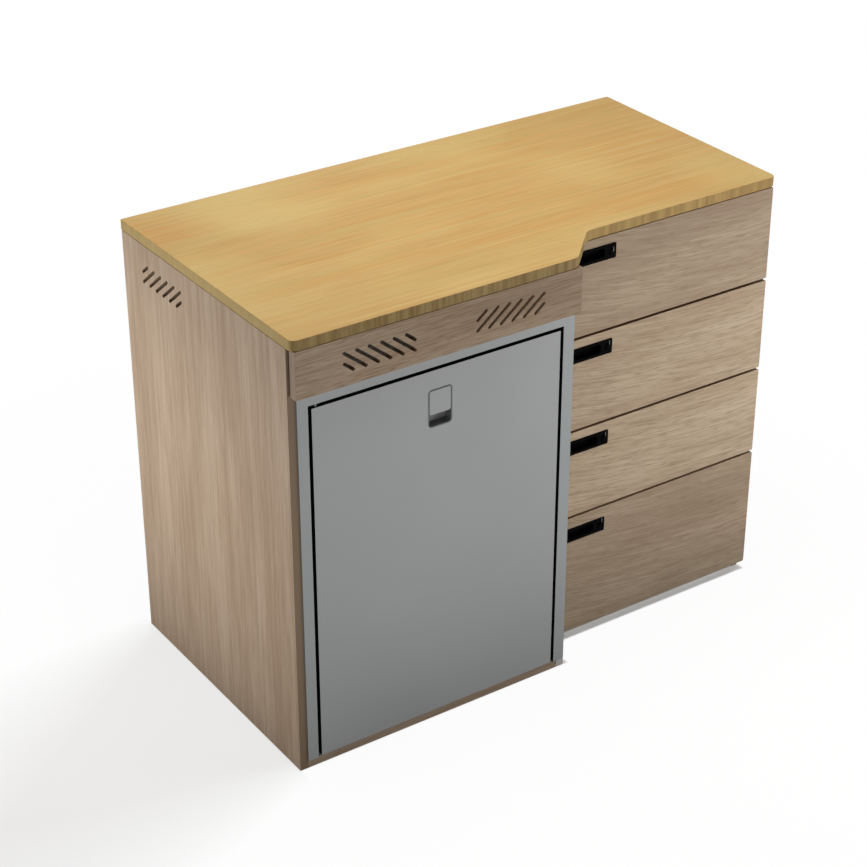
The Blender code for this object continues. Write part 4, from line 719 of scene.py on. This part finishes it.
# %% Dress the carcass
CARCASS_FINISHES = {
    "worktop": (bamboo, 1.2, 3), "left_side_panel": (panel_oak, 0.4), "right_side_panel": (panel_oak, 0.3),
    "vent_fascia": (fascia_oak, 0.5), "fridge_base_board": (base_oak, 0.3), "divider_panel": (laminate, 0.3),
    "drawer_base_board": (laminate, 0.3), "drawer_back_panel": (birch_across, 0.2),
    "bay_rear_rail": (birch_across, 0.3),
    "cross_rail_1": (birch_flat, 0.3), "cross_rail_2": (birch_flat, 0.3),
    "cross_rail_3": (birch_flat, 0.3), "cross_rail_4": (birch_flat, 0.3),
}
for name, look in CARCASS_FINISHES.items():
    dress(name, *look)

back_low, back_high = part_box("drawer_back_panel")
second_finish("divider_panel", zinc, low=(back_low.x, -1, 0))
second_finish("right_side_panel", zinc, high=(back_high.x, 1, 1))
print("carcass dressed, runner members from", round(back_low.x, 4), "to", round(back_high.x, 4), "m")

# %% [markdown]
# ## Dress the drawers
#
# All four drawers are made alike, so one loop dresses them. Each front gets its own oak, because the grain
# of a front is measured from its own lower left corner and its tone carries its own painted light and shade;
# the pull and the lock button are the same ABS.

# %% Dress the drawers
DRAWERS = ("drawer_1", "drawer_2", "drawer_3", "drawer_4")

for drawer in DRAWERS:
    low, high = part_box(drawer + "_front")
    same_sheet = (-low.x / MM, 0, -low.z / MM + SHEET_SHIFT)
    # the front's tone carries its painted light and shade
    front_oak = limed_oak("limed_oak_veneer_" + drawer, 0, same_sheet, FRONT_OAK_PAINTED_LIGHT_TONES[drawer], 0.32,
                          # the fronts' top and bottom edges are painted darker: painted shade in the gaps
                          # between the fronts
                          edge=(2, "#8A7158"), arch=(high.x, FRONT_ARCH))
    for part, finish, edge_mm in (
            ("_front", front_oak, 0.6), ("_pull", pull_abs, 0.3), ("_lock_slide", pull_abs, 0.25),
            ("_box", birch_side, 0.3), ("_runner_left", zinc, 0.2), ("_runner_right", zinc, 0.2)):
        dress(drawer + part, finish, edge_mm)
print("drawers dressed:", len(DRAWERS))

# %% [markdown]
# ## Dress the fridge
#
# The same kind of table for the fridge. Moulded and drawn plastic mostly has the widest edge, since a mould
# can't make a sharp one; folded sheet has a third to half a millimetre; and the condenser's thin wires and
# the foam, which is closed in, have none.

# %% Dress the fridge
FRIDGE_FINISHES = {
    "fridge_flush_frame": (frame_coat, 0.35), "fridge_cabinet_shell": (shell_coat, 0.3),
    "fridge_insulation": (foam, 0.0), "fridge_liner": (liner_styrene, 1.0),
    "fridge_door_skin": (door_coat, 0.5), "fridge_door_core": (foam, 0.0),
    "fridge_door_liner": (liner_styrene, 0.8), "fridge_door_seal": (seal_rubber, 1.5),
    "latch_housing": (recess_abs, 0.3), "latch_flap": (door_coat, 0.5),
    "door_rack": (clear_plastic, 0.6), "bottle_rack": (clear_plastic, 0.6),
    "freezer_box": (aluminium, 0.4), "freezer_flap": (liner_styrene, 0.5),
    "shelf_lower": (clear_plastic, 0.4), "shelf_upper": (clear_plastic, 0.4),
    "crisper_bin": (clear_plastic, 0.6), "thermostat_housing": (knob_styrene, 0.8),
    "thermostat_knob": (knob_styrene, 0.8), "compressor": (black_enamel, 0.6),
    "condenser": (black_enamel, 0.0), "fan_housing": (fan_abs, 0.5), "fan_rotor": (fan_abs, 0.3),
}
for name, look in FRIDGE_FINISHES.items():
    dress(name, *look)
print("fridge dressed:", len(FRIDGE_FINISHES), "nodes")

# %% [markdown]
# ## Painted shade round the door
#
# The gap round the door reads as a pure black line. The door's folded edges and the frame's reveal are
# given a matt black finish there, and so is the frame over the hinge at the top left: painted shade in the
# gap.

# %% Painted shade round the door
FACE_REACH = 0.3 * MM
DOOR_GAP = 6.2 * MM
TOP_SHADE_BAND = 20 * MM

door_low, door_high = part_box("fridge_door_skin")
# the faces round the door gap are painted black: painted shade
for name, axis, place in (
        ("fridge_door_skin", 0, door_low.x), ("fridge_door_skin", 0, door_high.x),
        ("fridge_door_skin", 2, door_low.z), ("fridge_door_skin", 2, door_high.z),
        ("fridge_flush_frame", 0, door_low.x - DOOR_GAP), ("fridge_flush_frame", 0, door_high.x + DOOR_GAP)):
    low, high = Vector((-1, -1, 0)), Vector((1, 1, 1))
    low[axis], high[axis] = place - FACE_REACH, place + FACE_REACH
    second_finish(name, gap_shade_black, low, high)
# the frame over the hinge lug at the top left of the gap is painted black too: painted shade
second_finish("fridge_flush_frame", gap_shade_black, (-1, -1, door_high.z + FACE_REACH),
              (door_low.x + TOP_SHADE_BAND, 1, door_high.z + DOOR_GAP + FACE_REACH))
print("door from", [round(value, 4) for value in door_low], "to", [round(value, 4) for value in door_high])

# %% [markdown]
# ## Small fittings
#
# A model made for motion leaves out what only the eye misses: screw heads, pipes, trims and marks. Each
# one below is a single mesh, put together with three building moves that a workshop would know: a block,
# a shape turned on a lathe, and a tube bent along a route. Whatever the move, the end is the same: the mesh
# is closed, gets its finish and its edges, and is told which moving body carries it.

# %% Closing a piece
def new_piece(name, build, finish, slot="zinc_plated_steel", edge_mm=0.2, segments=2, body="carcass"):
    """Close a mesh, give it its finish and its body; slot is not used."""
    bmesh.ops.recalc_face_normals(build, faces=build.faces)
    mesh = bpy.data.meshes.new(name)
    build.to_mesh(mesh)
    build.free()
    mesh.materials.append(finish)
    piece = new_object(name, mesh)
    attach(piece, body)
    break_edges(piece, edge_mm, segments)


print("new pieces ride on the carcass unless they name another body")

# %% [markdown]
# ## Turned shapes
#
# Screws, grommets and the drier are round. Each could be a stack of cylinders, but a lathe gives them their
# real outline: rings of corners at each height of a profile, with walls between them. A ring may also be
# six-sided, as a nut is.

# %% Turned shapes
def join_rings(build, rings):
    """Close the wall between rings of corners, where a ring may be a single point."""
    sides = max(len(ring) for ring in rings)
    for first, second in zip(rings, rings[1:]):
        for step in range(sides):
            after = (step + 1) % sides
            corners = [first[step % len(first)], first[after % len(first)],
                       second[after % len(second)], second[step % len(second)]]
            build.faces.new(list(dict.fromkeys(corners)))


def add_turned(build, place, axis, profile, sides=24, hexagon=()):
    """Add a turned shape; profile is (height, radius) pairs, and hexagon names the six-sided rings."""
    turn = Vector(axis).to_track_quat("Z", "Y").to_matrix()
    rings = []
    for number, (height, radius) in enumerate(profile):
        ring = []
        for step in range(sides if radius else 1):
            angle = 2 * pi * step / sides
            flat = cos(pi / 6) / cos(angle % (pi / 3) - pi / 6) if number in hexagon else 1
            corner = Vector((flat * radius * cos(angle), flat * radius * sin(angle), height))
            ring.append(build.verts.new(Vector(place) + turn @ corner))
        rings.append(ring)
    join_rings(build, rings)


print("a profile is a list of heights and radii")

# %% [markdown]
# ## Screws
#
# Pods like this are screwed together with low round heads that take a hexagon key, so they can be taken
# apart in a van. A head stands 1.5 mm proud. Its socket is the profile's own hollow: the turned line goes
# in again before it reaches the axis, and its two inner rings are six-sided.

# %% Screw heads
SCREW_RADIUS = 3.4 * MM
SCREW_HEIGHT = 1.5 * MM
SCREW_SINK = 0.05 * MM
SCREW_INSET = 10 * MM
SIDE_SCREWS = {"cross_rail_1": (0.3, 0.75), "cross_rail_2": (0.3, 0.75), "cross_rail_3": (0.3, 0.75),
               "cross_rail_4": (0.3, 0.75), "drawer_base_board": (0.06, 0.5, 0.94)}


def between(low, high, share):
    """The place at a share of the way from one to another."""
    return low + share * (high - low)


def new_screws(name, heads, body="carcass"):
    """Make one piece of screw heads, each by where it stands, where it looks and its share of full size."""
    build = bmesh.new()
    for place, axis, share in heads:
        radius = share * SCREW_RADIUS
        add_turned(build, place, axis, [
            (-SCREW_SINK, 0), (-SCREW_SINK, radius), (0.4 * SCREW_HEIGHT, radius),
            (0.8 * SCREW_HEIGHT, 0.9 * radius), (SCREW_HEIGHT, 0.68 * radius), (SCREW_HEIGHT, 0.45 * radius),
            (0.3 * SCREW_HEIGHT, 0.45 * radius), (0.3 * SCREW_HEIGHT, 0)], hexagon=(5, 6))
    new_piece(name, build, screw_steel, edge_mm=0.08, segments=1, body=body)


heads = []
for column in range(3):
    for row in (range(5) if column != 1 else (0, 4)):
        x = between(back_low.x + SCREW_INSET, back_high.x - SCREW_INSET, column / 2)
        z = between(back_low.z + SCREW_INSET, back_high.z - SCREW_INSET, row / 4)
        heads.append(((x, back_high.y, z), (0, 1, 0), 1))
new_screws("back_panel_screws", heads)

heads = []
side_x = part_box("right_side_panel")[1].x
for board, shares in SIDE_SCREWS.items():
    low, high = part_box(board)
    for share in shares:
        heads.append(((side_x, between(low.y, high.y, share), (low.z + high.z) / 2), (1, 0, 0), 1))
new_screws("side_panel_screws", heads)
print("screws on the back panel and on the right side")

# %% [markdown]
# ## Worktop brackets
#
# The worktop is held from below, so that no screw shows on it. Steel angles are screwed to the left panel
# and to the divider, high up in the fridge bay, and into the underside of the bamboo.

# %% Worktop brackets
BRACKET_LEG = 28 * MM
BRACKET_LENGTH = 40 * MM
BRACKET_THICK = 2 * MM
BRACKET_AIR = 0.3 * MM
BRACKET_PLACES = (-0.14, 0.12)

bay_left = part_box("left_side_panel")[1].x
bay_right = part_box("divider_panel")[0].x
under_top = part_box("worktop")[0].z - BRACKET_AIR
outline = [(0, 0), (BRACKET_LEG, 0), (BRACKET_LEG, BRACKET_THICK), (BRACKET_THICK, BRACKET_THICK),
           (BRACKET_THICK, BRACKET_LEG), (0, BRACKET_LEG)]
brackets = bmesh.new()
heads = []
for wall, side in ((bay_left, 1), (bay_right, -1)):
    near = wall + side * BRACKET_AIR
    for middle in BRACKET_PLACES:
        ends = [[brackets.verts.new((near + side * out, middle + shift * BRACKET_LENGTH, under_top - down))
                 for out, down in outline] for shift in (-0.5, 0.5)]
        join_rings(brackets, ends)
        for end in ends:
            brackets.faces.new(end)
        for shift in (-0.25, 0.25):
            depth = middle + shift * BRACKET_LENGTH
            for out, down, axis in ((BRACKET_THICK, 0.6 * BRACKET_LEG, (side, 0, 0)),
                                    (0.6 * BRACKET_LEG, BRACKET_THICK, (0, 0, -1))):
                heads.append(((near + side * out, depth, under_top - down), axis, 1))
new_piece("worktop_brackets", brackets, zinc, edge_mm=0.4)
new_screws("bracket_screws", heads)
print("brackets between", round(bay_left, 4), "and", round(bay_right, 4))

# %% [markdown]
# ## Drawer fittings
#
# The inner runner members are steel on a birch box, so the box gets more than one finish: zinc for the
# members, and ply that lies flat or stands across for the bottom and the back. Three screws hold each
# member, out of the way of the sliding one, and four more go through the sides into the box's back. On
# the face of each pull, near its right end, the photograph shows one small pale mark; it is made as a thin
# grey block on the lock button, so it moves with the button. The mark is the first piece made of a block,
# so the move for blocks comes here: a cube of size one, stretched and moved between two corners.

# %% Blocks
def new_blocks(name, blocks, *look, **more):
    """Make one piece of blocks, each between two corners."""
    build = bmesh.new()
    for low, high in blocks:
        middle = (Vector(low) + Vector(high)) / 2
        size = Vector(high) - Vector(low)
        stretch = Matrix.Translation(middle) @ Matrix.Diagonal((*size, 1))
        bmesh.ops.create_cube(build, size=1.0, matrix=stretch)
    new_piece(name, build, *look, **more)


print("a block needs only two corners")

# %% Drawer fittings
MEMBER_SCREWS = (0.08, 0.45, 0.92)
MEMBER_OPEN = 9.5 * MM
MEMBER_WEB = 1.5 * MM
BOX_WALL = 14 * MM
MARK_WIDTH = 1.4 * MM
MARK_HEIGHT = 8.5 * MM
MARK_THICK = 0.08 * MM
MARK_INSET = 0.8 * MM

for drawer in DRAWERS:
    box_low, box_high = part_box(drawer + "_box")
    runner_low, runner_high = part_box(drawer + "_runner_left")
    left, right = box_low.x + MEMBER_OPEN, box_high.x - MEMBER_OPEN
    inner = box_high.y - 2 * BOX_WALL
    second_finish(drawer + "_box", zinc, high=(left - FACE_REACH / 2, 1, 1))
    second_finish(drawer + "_box", zinc, low=(right + FACE_REACH / 2, -1, 0))
    second_finish(drawer + "_box", birch_across, (left + BOX_WALL, inner, 0), (right - BOX_WALL, 1, 1))
    second_finish(drawer + "_box", birch_flat, (left + BOX_WALL, -1, 0),
                  (right - BOX_WALL, inner, box_low.z + 2 * BOX_WALL))
    heads = []
    level = (runner_low.z + runner_high.z) / 2
    for face, side in ((left, -1), (right, 1)):
        for share in MEMBER_SCREWS:
            depth = between(box_low.y, box_high.y, share)
            heads.append(((face + side * (MEMBER_WEB - FACE_REACH), depth, level), (side, 0, 0), 1))
        for height in (runner_high.z + SCREW_INSET, box_high.z - 2 * SCREW_INSET):
            heads.append(((face, box_high.y - 1.2 * SCREW_INSET, height), (side, 0, 0), 0.9))
    new_screws(drawer + "_screws", heads, drawer)
    button_low, button_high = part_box(drawer + "_lock_slide")
    mark_x = button_high.x - MARK_INSET
    mark_z = (button_low.z + button_high.z - MARK_HEIGHT) / 2
    # a thin light grey block near the right end of the lock button's face
    new_blocks(drawer + "_button_mark", [(
        (mark_x - MARK_WIDTH, button_low.y - MARK_THICK, mark_z),
        (mark_x, button_low.y + MARK_THICK, mark_z + MARK_HEIGHT))],
        light_grey_mark, "dark_grey_abs", 0, body=drawer + "_lock")
print("drawer box sides from", round(left, 4), "to", round(right, 4))

# %% [markdown]
# ## Inside the fridge
#
# The liner is drawn over a mould that gives it a rail under each shelf. A white trim holds each shelf's
# front edge, the bin has a lip to pull it by, and wire bails keep bottles from tipping out of the racks
# when the van turns. The thermostat housing has a clear lamp cover on its side, and the dial has the
# plain numbers one to five.

# %% Shelf rails, trims and lamp
WALL_RAIL = 6 * MM
WALL_RAIL_HIGH = 4 * MM
FIT = 0.3 * MM
TRIM_REACH = 1.2 * MM
TRIM_LIP = 2 * MM
BIN_LIP_INSET = 40 * MM
LAMP_REACH = 3 * MM

cavity_left, cavity_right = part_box("shelf_lower")[0].x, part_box("shelf_lower")[1].x
rails = []
for shelf in ("shelf_lower", "shelf_upper"):
    low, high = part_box(shelf)
    for near, far in ((cavity_left - FIT, cavity_left + WALL_RAIL),
                      (cavity_right - WALL_RAIL, cavity_right + FIT)):
        rails.append(((near, low.y, low.z - FIT - WALL_RAIL_HIGH), (far, high.y - SCREW_INSET, low.z - FIT)))
    left, right, near = cavity_left + FIT, cavity_right - FIT, low.y - TRIM_REACH
    new_blocks(shelf + "_trim", [
        ((left, near, low.z - TRIM_LIP), (right, low.y - FIT / 3, high.z + TRIM_LIP)),
        ((left, near, high.z + FIT / 3), (right, low.y + 3 * TRIM_LIP, high.z + TRIM_LIP / 2))],
        liner_styrene, "white_polystyrene", 0.3)
new_blocks("liner_shelf_rails", rails, liner_styrene, "white_polystyrene", 1.2, 3)

low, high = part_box("crisper_bin")
left, right, near = low.x + BIN_LIP_INSET, high.x - BIN_LIP_INSET, low.y - 2 * TRIM_LIP
new_blocks("crisper_lip", [
    ((left, near, high.z - TRIM_LIP), (right, low.y - FIT / 3, high.z)),
    ((left, near, high.z - 5 * TRIM_LIP), (right, low.y - 1.4 * TRIM_LIP, high.z - TRIM_LIP - FIT / 3))],
    liner_styrene, "white_polystyrene", 0.5, 3)

lamp_low, lamp_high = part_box("thermostat_housing")
new_blocks("lamp_cover", [(
    (lamp_low.x - LAMP_REACH, lamp_low.y + SCREW_INSET, lamp_low.z + SCREW_INSET),
    (lamp_low.x + FIT, lamp_high.y - SCREW_INSET, lamp_high.z - SCREW_INSET))],
    clear_plastic, "clear_polystyrene", 1.2, 3)
print("shelf width in mm:", round((cavity_right - cavity_left) / MM))

# %% [markdown]
# ## Bottle bails
#
# A bail is drawn wire with two bent corners. Blender could give a curve object a bevel, but a mesh is closed
# and exports the same everywhere, so the tube is built from rings: a few points say where the wire goes, a
# smooth route is laid through them, and a ring is carried along it without twisting.

# %% Bent tubes
def steps_from(anchor, *steps):
    """Places that lie so many millimetres from an anchor."""
    return [Vector(anchor) + MM * Vector(step) for step in steps]


def add_tube(build, route, radius, sides=12):
    """Add a round tube along a route of points, with closed ends."""
    across = (route[1] - route[0]).orthogonal()
    rings = [[build.verts.new(route[0])]]
    for number, point in enumerate(route):
        along = (route[min(number + 1, len(route) - 1)] - route[max(number - 1, 0)]).normalized()
        across = (across - along * across.dot(along)).normalized()
        over = along.cross(across)
        angles = [2 * pi * step / sides for step in range(sides)]
        rings.append([build.verts.new(point + radius * (cos(angle) * across + sin(angle) * over))
                      for angle in angles])
    rings.append([build.verts.new(route[-1])])
    join_rings(build, rings)


def bent_route(points, steps=6):
    """A smooth route through a few points, as a pipe bender would make it."""
    route = []
    for number in range(len(points) - 1):
        before, start, end, after = [points[min(max(number + step, 0), len(points) - 1)]
                                     for step in (-1, 0, 1, 2)]
        for step in range(steps):
            share = step / steps
            route.append(start + 0.5 * share * ((end - before)
                         + share * (2 * before - 5 * start + 4 * end - after)
                         + share * share * (3 * start - before - 3 * end + after)))
    return route + [points[-1]]


print("a tube follows a smooth route through a few points")

# %% Bottle bails
# The left half of a bail, in millimetres from its rack's upper corner; the right half mirrors it
BAIL_HALF = ((6, -6, -8), (6, -6, 8.8), (6, -6, 18), (12, -6, 24), (36, -6, 24))
BAIL_RADIUS = 1.6 * MM

for rack in ("door_rack", "bottle_rack"):
    rack_low, rack_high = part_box(rack)
    left_half = steps_from((rack_low.x, rack_high.y, rack_high.z), *BAIL_HALF)
    right_half = steps_from(rack_high, *[(-x, y, z) for x, y, z in BAIL_HALF])
    bail = bmesh.new()
    add_tube(bail, bent_route(left_half + right_half[::-1]), BAIL_RADIUS)
    new_piece(rack + "_bail", bail, bail_steel, edge_mm=0, body="fridge_door")
print("bails stand", BAIL_HALF[-1][2], "mm over the racks")

# %% [markdown]
# ## Dial numbers
#
# The numbers are printed round the knob, which a thin text object shows best: its shapes stay crisp at any
# distance. They stay with the housing while the pointer, a printed bar on the knob, turns with it.

# %% Dial numbers and pointer
DIAL_RADIUS = 15.2 * MM
DIGIT_HEIGHT = 3.4 * MM
DIGIT_TURN = 36
DIGIT_PROUD = 0.08 * MM
DIGIT_THICK = 0.03 * MM
POINTER_WIDTH = 1 * MM
POINTER_PROUD = 0.15 * MM
POINTER_REACH = (2 * MM, 9 * MM)

knob_low, knob_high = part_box("thermostat_knob")
dial_x, dial_z = (knob_low.x + knob_high.x) / 2, (knob_low.z + knob_high.z) / 2
for number in range(1, 6):
    turn = radians(DIGIT_TURN * (number - 3))
    digit = bpy.data.curves.new("dial_%d" % number, "FONT")
    digit.body = str(number)
    digit.size = DIGIT_HEIGHT
    digit.extrude = DIGIT_THICK
    digit.align_x = "CENTER"
    digit.align_y = "CENTER"
    digit.materials.append(dial_ink)
    digit_piece = new_object("dial_%d" % number, digit)
    digit_piece.location = (dial_x + DIAL_RADIUS * sin(turn), lamp_low.y - DIGIT_PROUD,
                            dial_z + DIAL_RADIUS * cos(turn))
    digit_piece.rotation_euler = (radians(90), 0, 0)
    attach(digit_piece, "carcass")
new_blocks("knob_pointer", [(
    (dial_x - POINTER_WIDTH / 2, knob_low.y - POINTER_PROUD, dial_z + POINTER_REACH[0]),
    (dial_x + POINTER_WIDTH / 2, knob_low.y + FIT, dial_z + POINTER_REACH[1]))],
    dial_ink, "dark_grey_abs", 0.05, 1, body="knob")
print("dial numbers 1 to 5,", DIGIT_TURN, "degrees apart")

# %% [markdown]
# ## Behind the fridge
#
# The cooling works stand in the niche under the fridge's raised back. The compressor stands on rubber
# grommets, so that it can shake without drumming, and its electronics have fins on the outer side. A
# copper pipe takes the hot gas to the top of the condenser; from the foot of the condenser the liquid goes
# through a drier and a thin coiled capillary up into the cabinet, and a wider pipe brings the cold gas back.

# %% Compressor fittings
FOOT = 140 * MM
FOOT_THICK = 3 * MM
FOOT_INSET = 12 * MM
GROMMET_RADIUS = 8 * MM
GROMMET_HEIGHT = 9 * MM
BOLT_PROFILE = ((0, 0), (0, 6.4), (1.2, 6.4), (1.2, 5.5), (5, 5.5), (5.4, 4.9), (5.4, 0))
FIN_COUNT = 12
FIN_SPREAD = 84 * MM
FIN_REACH = 4 * MM
FIN_THICK = 1.2 * MM
FIN_RISE = (7 * MM, 68 * MM)

pot_low, pot_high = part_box("compressor")
pot_x, pot_y = pot_low.x + FOOT / 2, (pot_low.y + pot_high.y) / 2
foot_top = pot_low.z + FOOT_THICK
reach = FOOT / 2 - FOOT_INSET
waist = 0.8 * GROMMET_RADIUS
grommets = bmesh.new()
bolts = bmesh.new()
for side_x in (-1, 1):
    for side_y in (-1, 1):
        foot = Vector((pot_x + side_x * reach, pot_y + side_y * reach, foot_top))
        add_turned(grommets, foot, (0, 0, 1), [
            (-SCREW_SINK, 0), (-SCREW_SINK, GROMMET_RADIUS), (0.35 * GROMMET_HEIGHT, GROMMET_RADIUS),
            (0.45 * GROMMET_HEIGHT, waist), (0.6 * GROMMET_HEIGHT, waist),
            (0.7 * GROMMET_HEIGHT, GROMMET_RADIUS), (GROMMET_HEIGHT, GROMMET_RADIUS), (GROMMET_HEIGHT, 0)])
        add_turned(bolts, foot + Vector((0, 0, GROMMET_HEIGHT)), (0, 0, 1),
                   [(height * MM, radius * MM) for height, radius in BOLT_PROFILE], hexagon=(3, 4, 5))
new_piece("compressor_grommets", grommets, seal_rubber, "seal_rubber", 0.4)
new_piece("compressor_bolts", bolts, screw_steel, edge_mm=0.15)

fins = []
for number in range(FIN_COUNT):
    fin_y = pot_y + FIN_SPREAD * (number / (FIN_COUNT - 1) - 0.5)
    fins.append(((pot_high.x - FIT, fin_y - FIN_THICK / 2, foot_top + FIN_RISE[0]),
                 (pot_high.x + FIN_REACH, fin_y + FIN_THICK / 2, foot_top + FIN_RISE[1])))
new_blocks("electronics_fins", fins, fan_abs, "black_abs", 0.25)
print("compressor axis at", round(pot_x, 4), round(pot_y, 4))

# %% [markdown]
# ## Pipes
#
# The pipes are soft copper, bent by hand where there was room, so their points are listed one by one too,
# in millimetres from the condenser, the compressor or the drier. The capillary's turns are worked out by a
# loop.

# %% Pipes
COIL_TUBE_HALF = 2.2 * MM
COIL_SETBACK = 0.3 * MM
COIL_BEND = 8 * MM
CEILING = 214.5
PIPE = 2.9 * MM
CAPILLARY = 1.0 * MM
DRIER_X = -226 * MM
DRIER_Z = 55 * MM
DRIER_SETBACK = 14 * MM
DRIER_LENGTH = 66 * MM
DRIER_RADIUS = 8.5 * MM
DRIER_NECK = 9 * MM
DRIER_LIP = 2 * MM

coil_low, coil_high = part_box("condenser")
coil_y = (coil_low.y + coil_high.y) / 2 - COIL_SETBACK
coil_left, coil_right = coil_low.x + COIL_BEND, coil_high.x - COIL_BEND
drier = Vector((DRIER_X, coil_y - DRIER_SETBACK, DRIER_Z))
pot = (pot_x, pot_y, 0)
hot_gas = (steps_from((coil_right, coil_y, coil_high.z - COIL_TUBE_HALF), (0, 0, 0), (9, 0, 3), (11, 0, 14))
           + steps_from((coil_right, coil_y, 0), (-10, 0, 178))
           + steps_from((0, coil_y, 0), (-150, -4, 182), (-280, -24, 180))
           + steps_from(pot, (46, 22, 168), (34, 14, 146), (30, 12, 128)))
cold_gas = steps_from(pot, (-28, 18, 128), (-34, 24, 150), (-40, 34, 176), (-40, 38, CEILING))
liquid = (steps_from((coil_left, coil_y, coil_low.z + COIL_TUBE_HALF), (0, 0, 0), (-12, 0, 1), (-30, -5, 6))
          + steps_from(drier, (0, 0, -12), (0, 0, 2)))
filling_stub = steps_from(pot, (6, -34, 120), (8, -42, 138), (12, -46, 168))
pipes = bmesh.new()
for points, radius in ((hot_gas, PIPE), (cold_gas, 1.3 * PIPE), (liquid, PIPE), (filling_stub, PIPE)):
    add_tube(pipes, bent_route(points), radius)
new_piece("cooling_pipes", pipes, copper, edge_mm=0)
print("pipe routes have", [len(points) for points in (hot_gas, cold_gas, liquid, filling_stub)], "points")

# %% Drier and capillary
COIL_TURNS = 4
TURN_STEPS = 16
COIL_RADIUS = 13 * MM
COIL_GAP = 8 * MM

drier_body = bmesh.new()
add_turned(drier_body, drier, (0, 0, 1), [
    (0, 0), (0, PIPE), (DRIER_LIP, 1.2 * PIPE), (DRIER_NECK, DRIER_RADIUS),
    (DRIER_LENGTH - DRIER_NECK, DRIER_RADIUS), (DRIER_LENGTH - DRIER_LIP, 1.2 * PIPE),
    (DRIER_LENGTH, CAPILLARY), (DRIER_LENGTH, 0)])
new_piece("filter_drier", drier_body, copper, edge_mm=0.4)

coil_base = drier + Vector((0, 0, DRIER_LENGTH + COIL_GAP))
capillary_route = [drier + Vector((0, 0, DRIER_LENGTH - CAPILLARY))]
for step in range(COIL_TURNS * TURN_STEPS + 1):
    turn = 2 * pi * step / TURN_STEPS
    rise = 2.6 * CAPILLARY * step / TURN_STEPS
    capillary_route.append(coil_base + Vector((COIL_RADIUS * cos(turn), COIL_RADIUS * sin(turn), rise)))
capillary_route.append(Vector((drier.x + COIL_RADIUS, drier.y, CEILING * MM)))
capillary = bmesh.new()
add_tube(capillary, capillary_route, CAPILLARY, 8)
new_piece("capillary_coil", capillary, copper, edge_mm=0)
print("capillary coil of", COIL_TURNS, "turns,", round(2 * COIL_RADIUS / MM), "mm across")

# %% [markdown]
# ## Condenser straps
#
# Two zinc straps hold the condenser upright, each bent to a foot with one screw. A strap is two blocks that
# overlap at the bend, since the fold is too small to see. Four more screws hold the fan's housing.

# %% Condenser straps and fan screws
STRAP_INSET = 14 * MM
STRAP_WIDTH = 12 * MM
STRAP_THICK = 1.2 * MM
STRAP_FOOT = 12 * MM
STRAP_SCREW = 7 * MM
FAN_SCREW_INSET = 7.5 * MM

straps = []
heads = []
for strap_x in (coil_left + STRAP_INSET, coil_right - STRAP_INSET):
    near = (strap_x - STRAP_WIDTH / 2, coil_high.y + FIT / 3, coil_low.z)
    for reach, top in ((FIT / 3 + STRAP_THICK, coil_high.z), (STRAP_FOOT, coil_low.z + STRAP_THICK)):
        straps.append((near, (strap_x + STRAP_WIDTH / 2, coil_high.y + reach, top)))
    heads.append(((strap_x, coil_high.y + STRAP_SCREW, coil_low.z + STRAP_THICK), (0, 0, 1), 1))
new_blocks("condenser_straps", straps, zinc)
fan_low, fan_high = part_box("fan_housing")
for corner_x in (fan_low.x + FAN_SCREW_INSET, fan_high.x - FAN_SCREW_INSET):
    for corner_z in (fan_low.z + FAN_SCREW_INSET, fan_high.z - FAN_SCREW_INSET):
        heads.append(((corner_x, fan_low.y, corner_z), (0, -1, 0), 1))
new_screws("cooling_screws", heads)
print("straps at", round(coil_left + STRAP_INSET, 4), "and", round(coil_right - STRAP_INSET, 4))
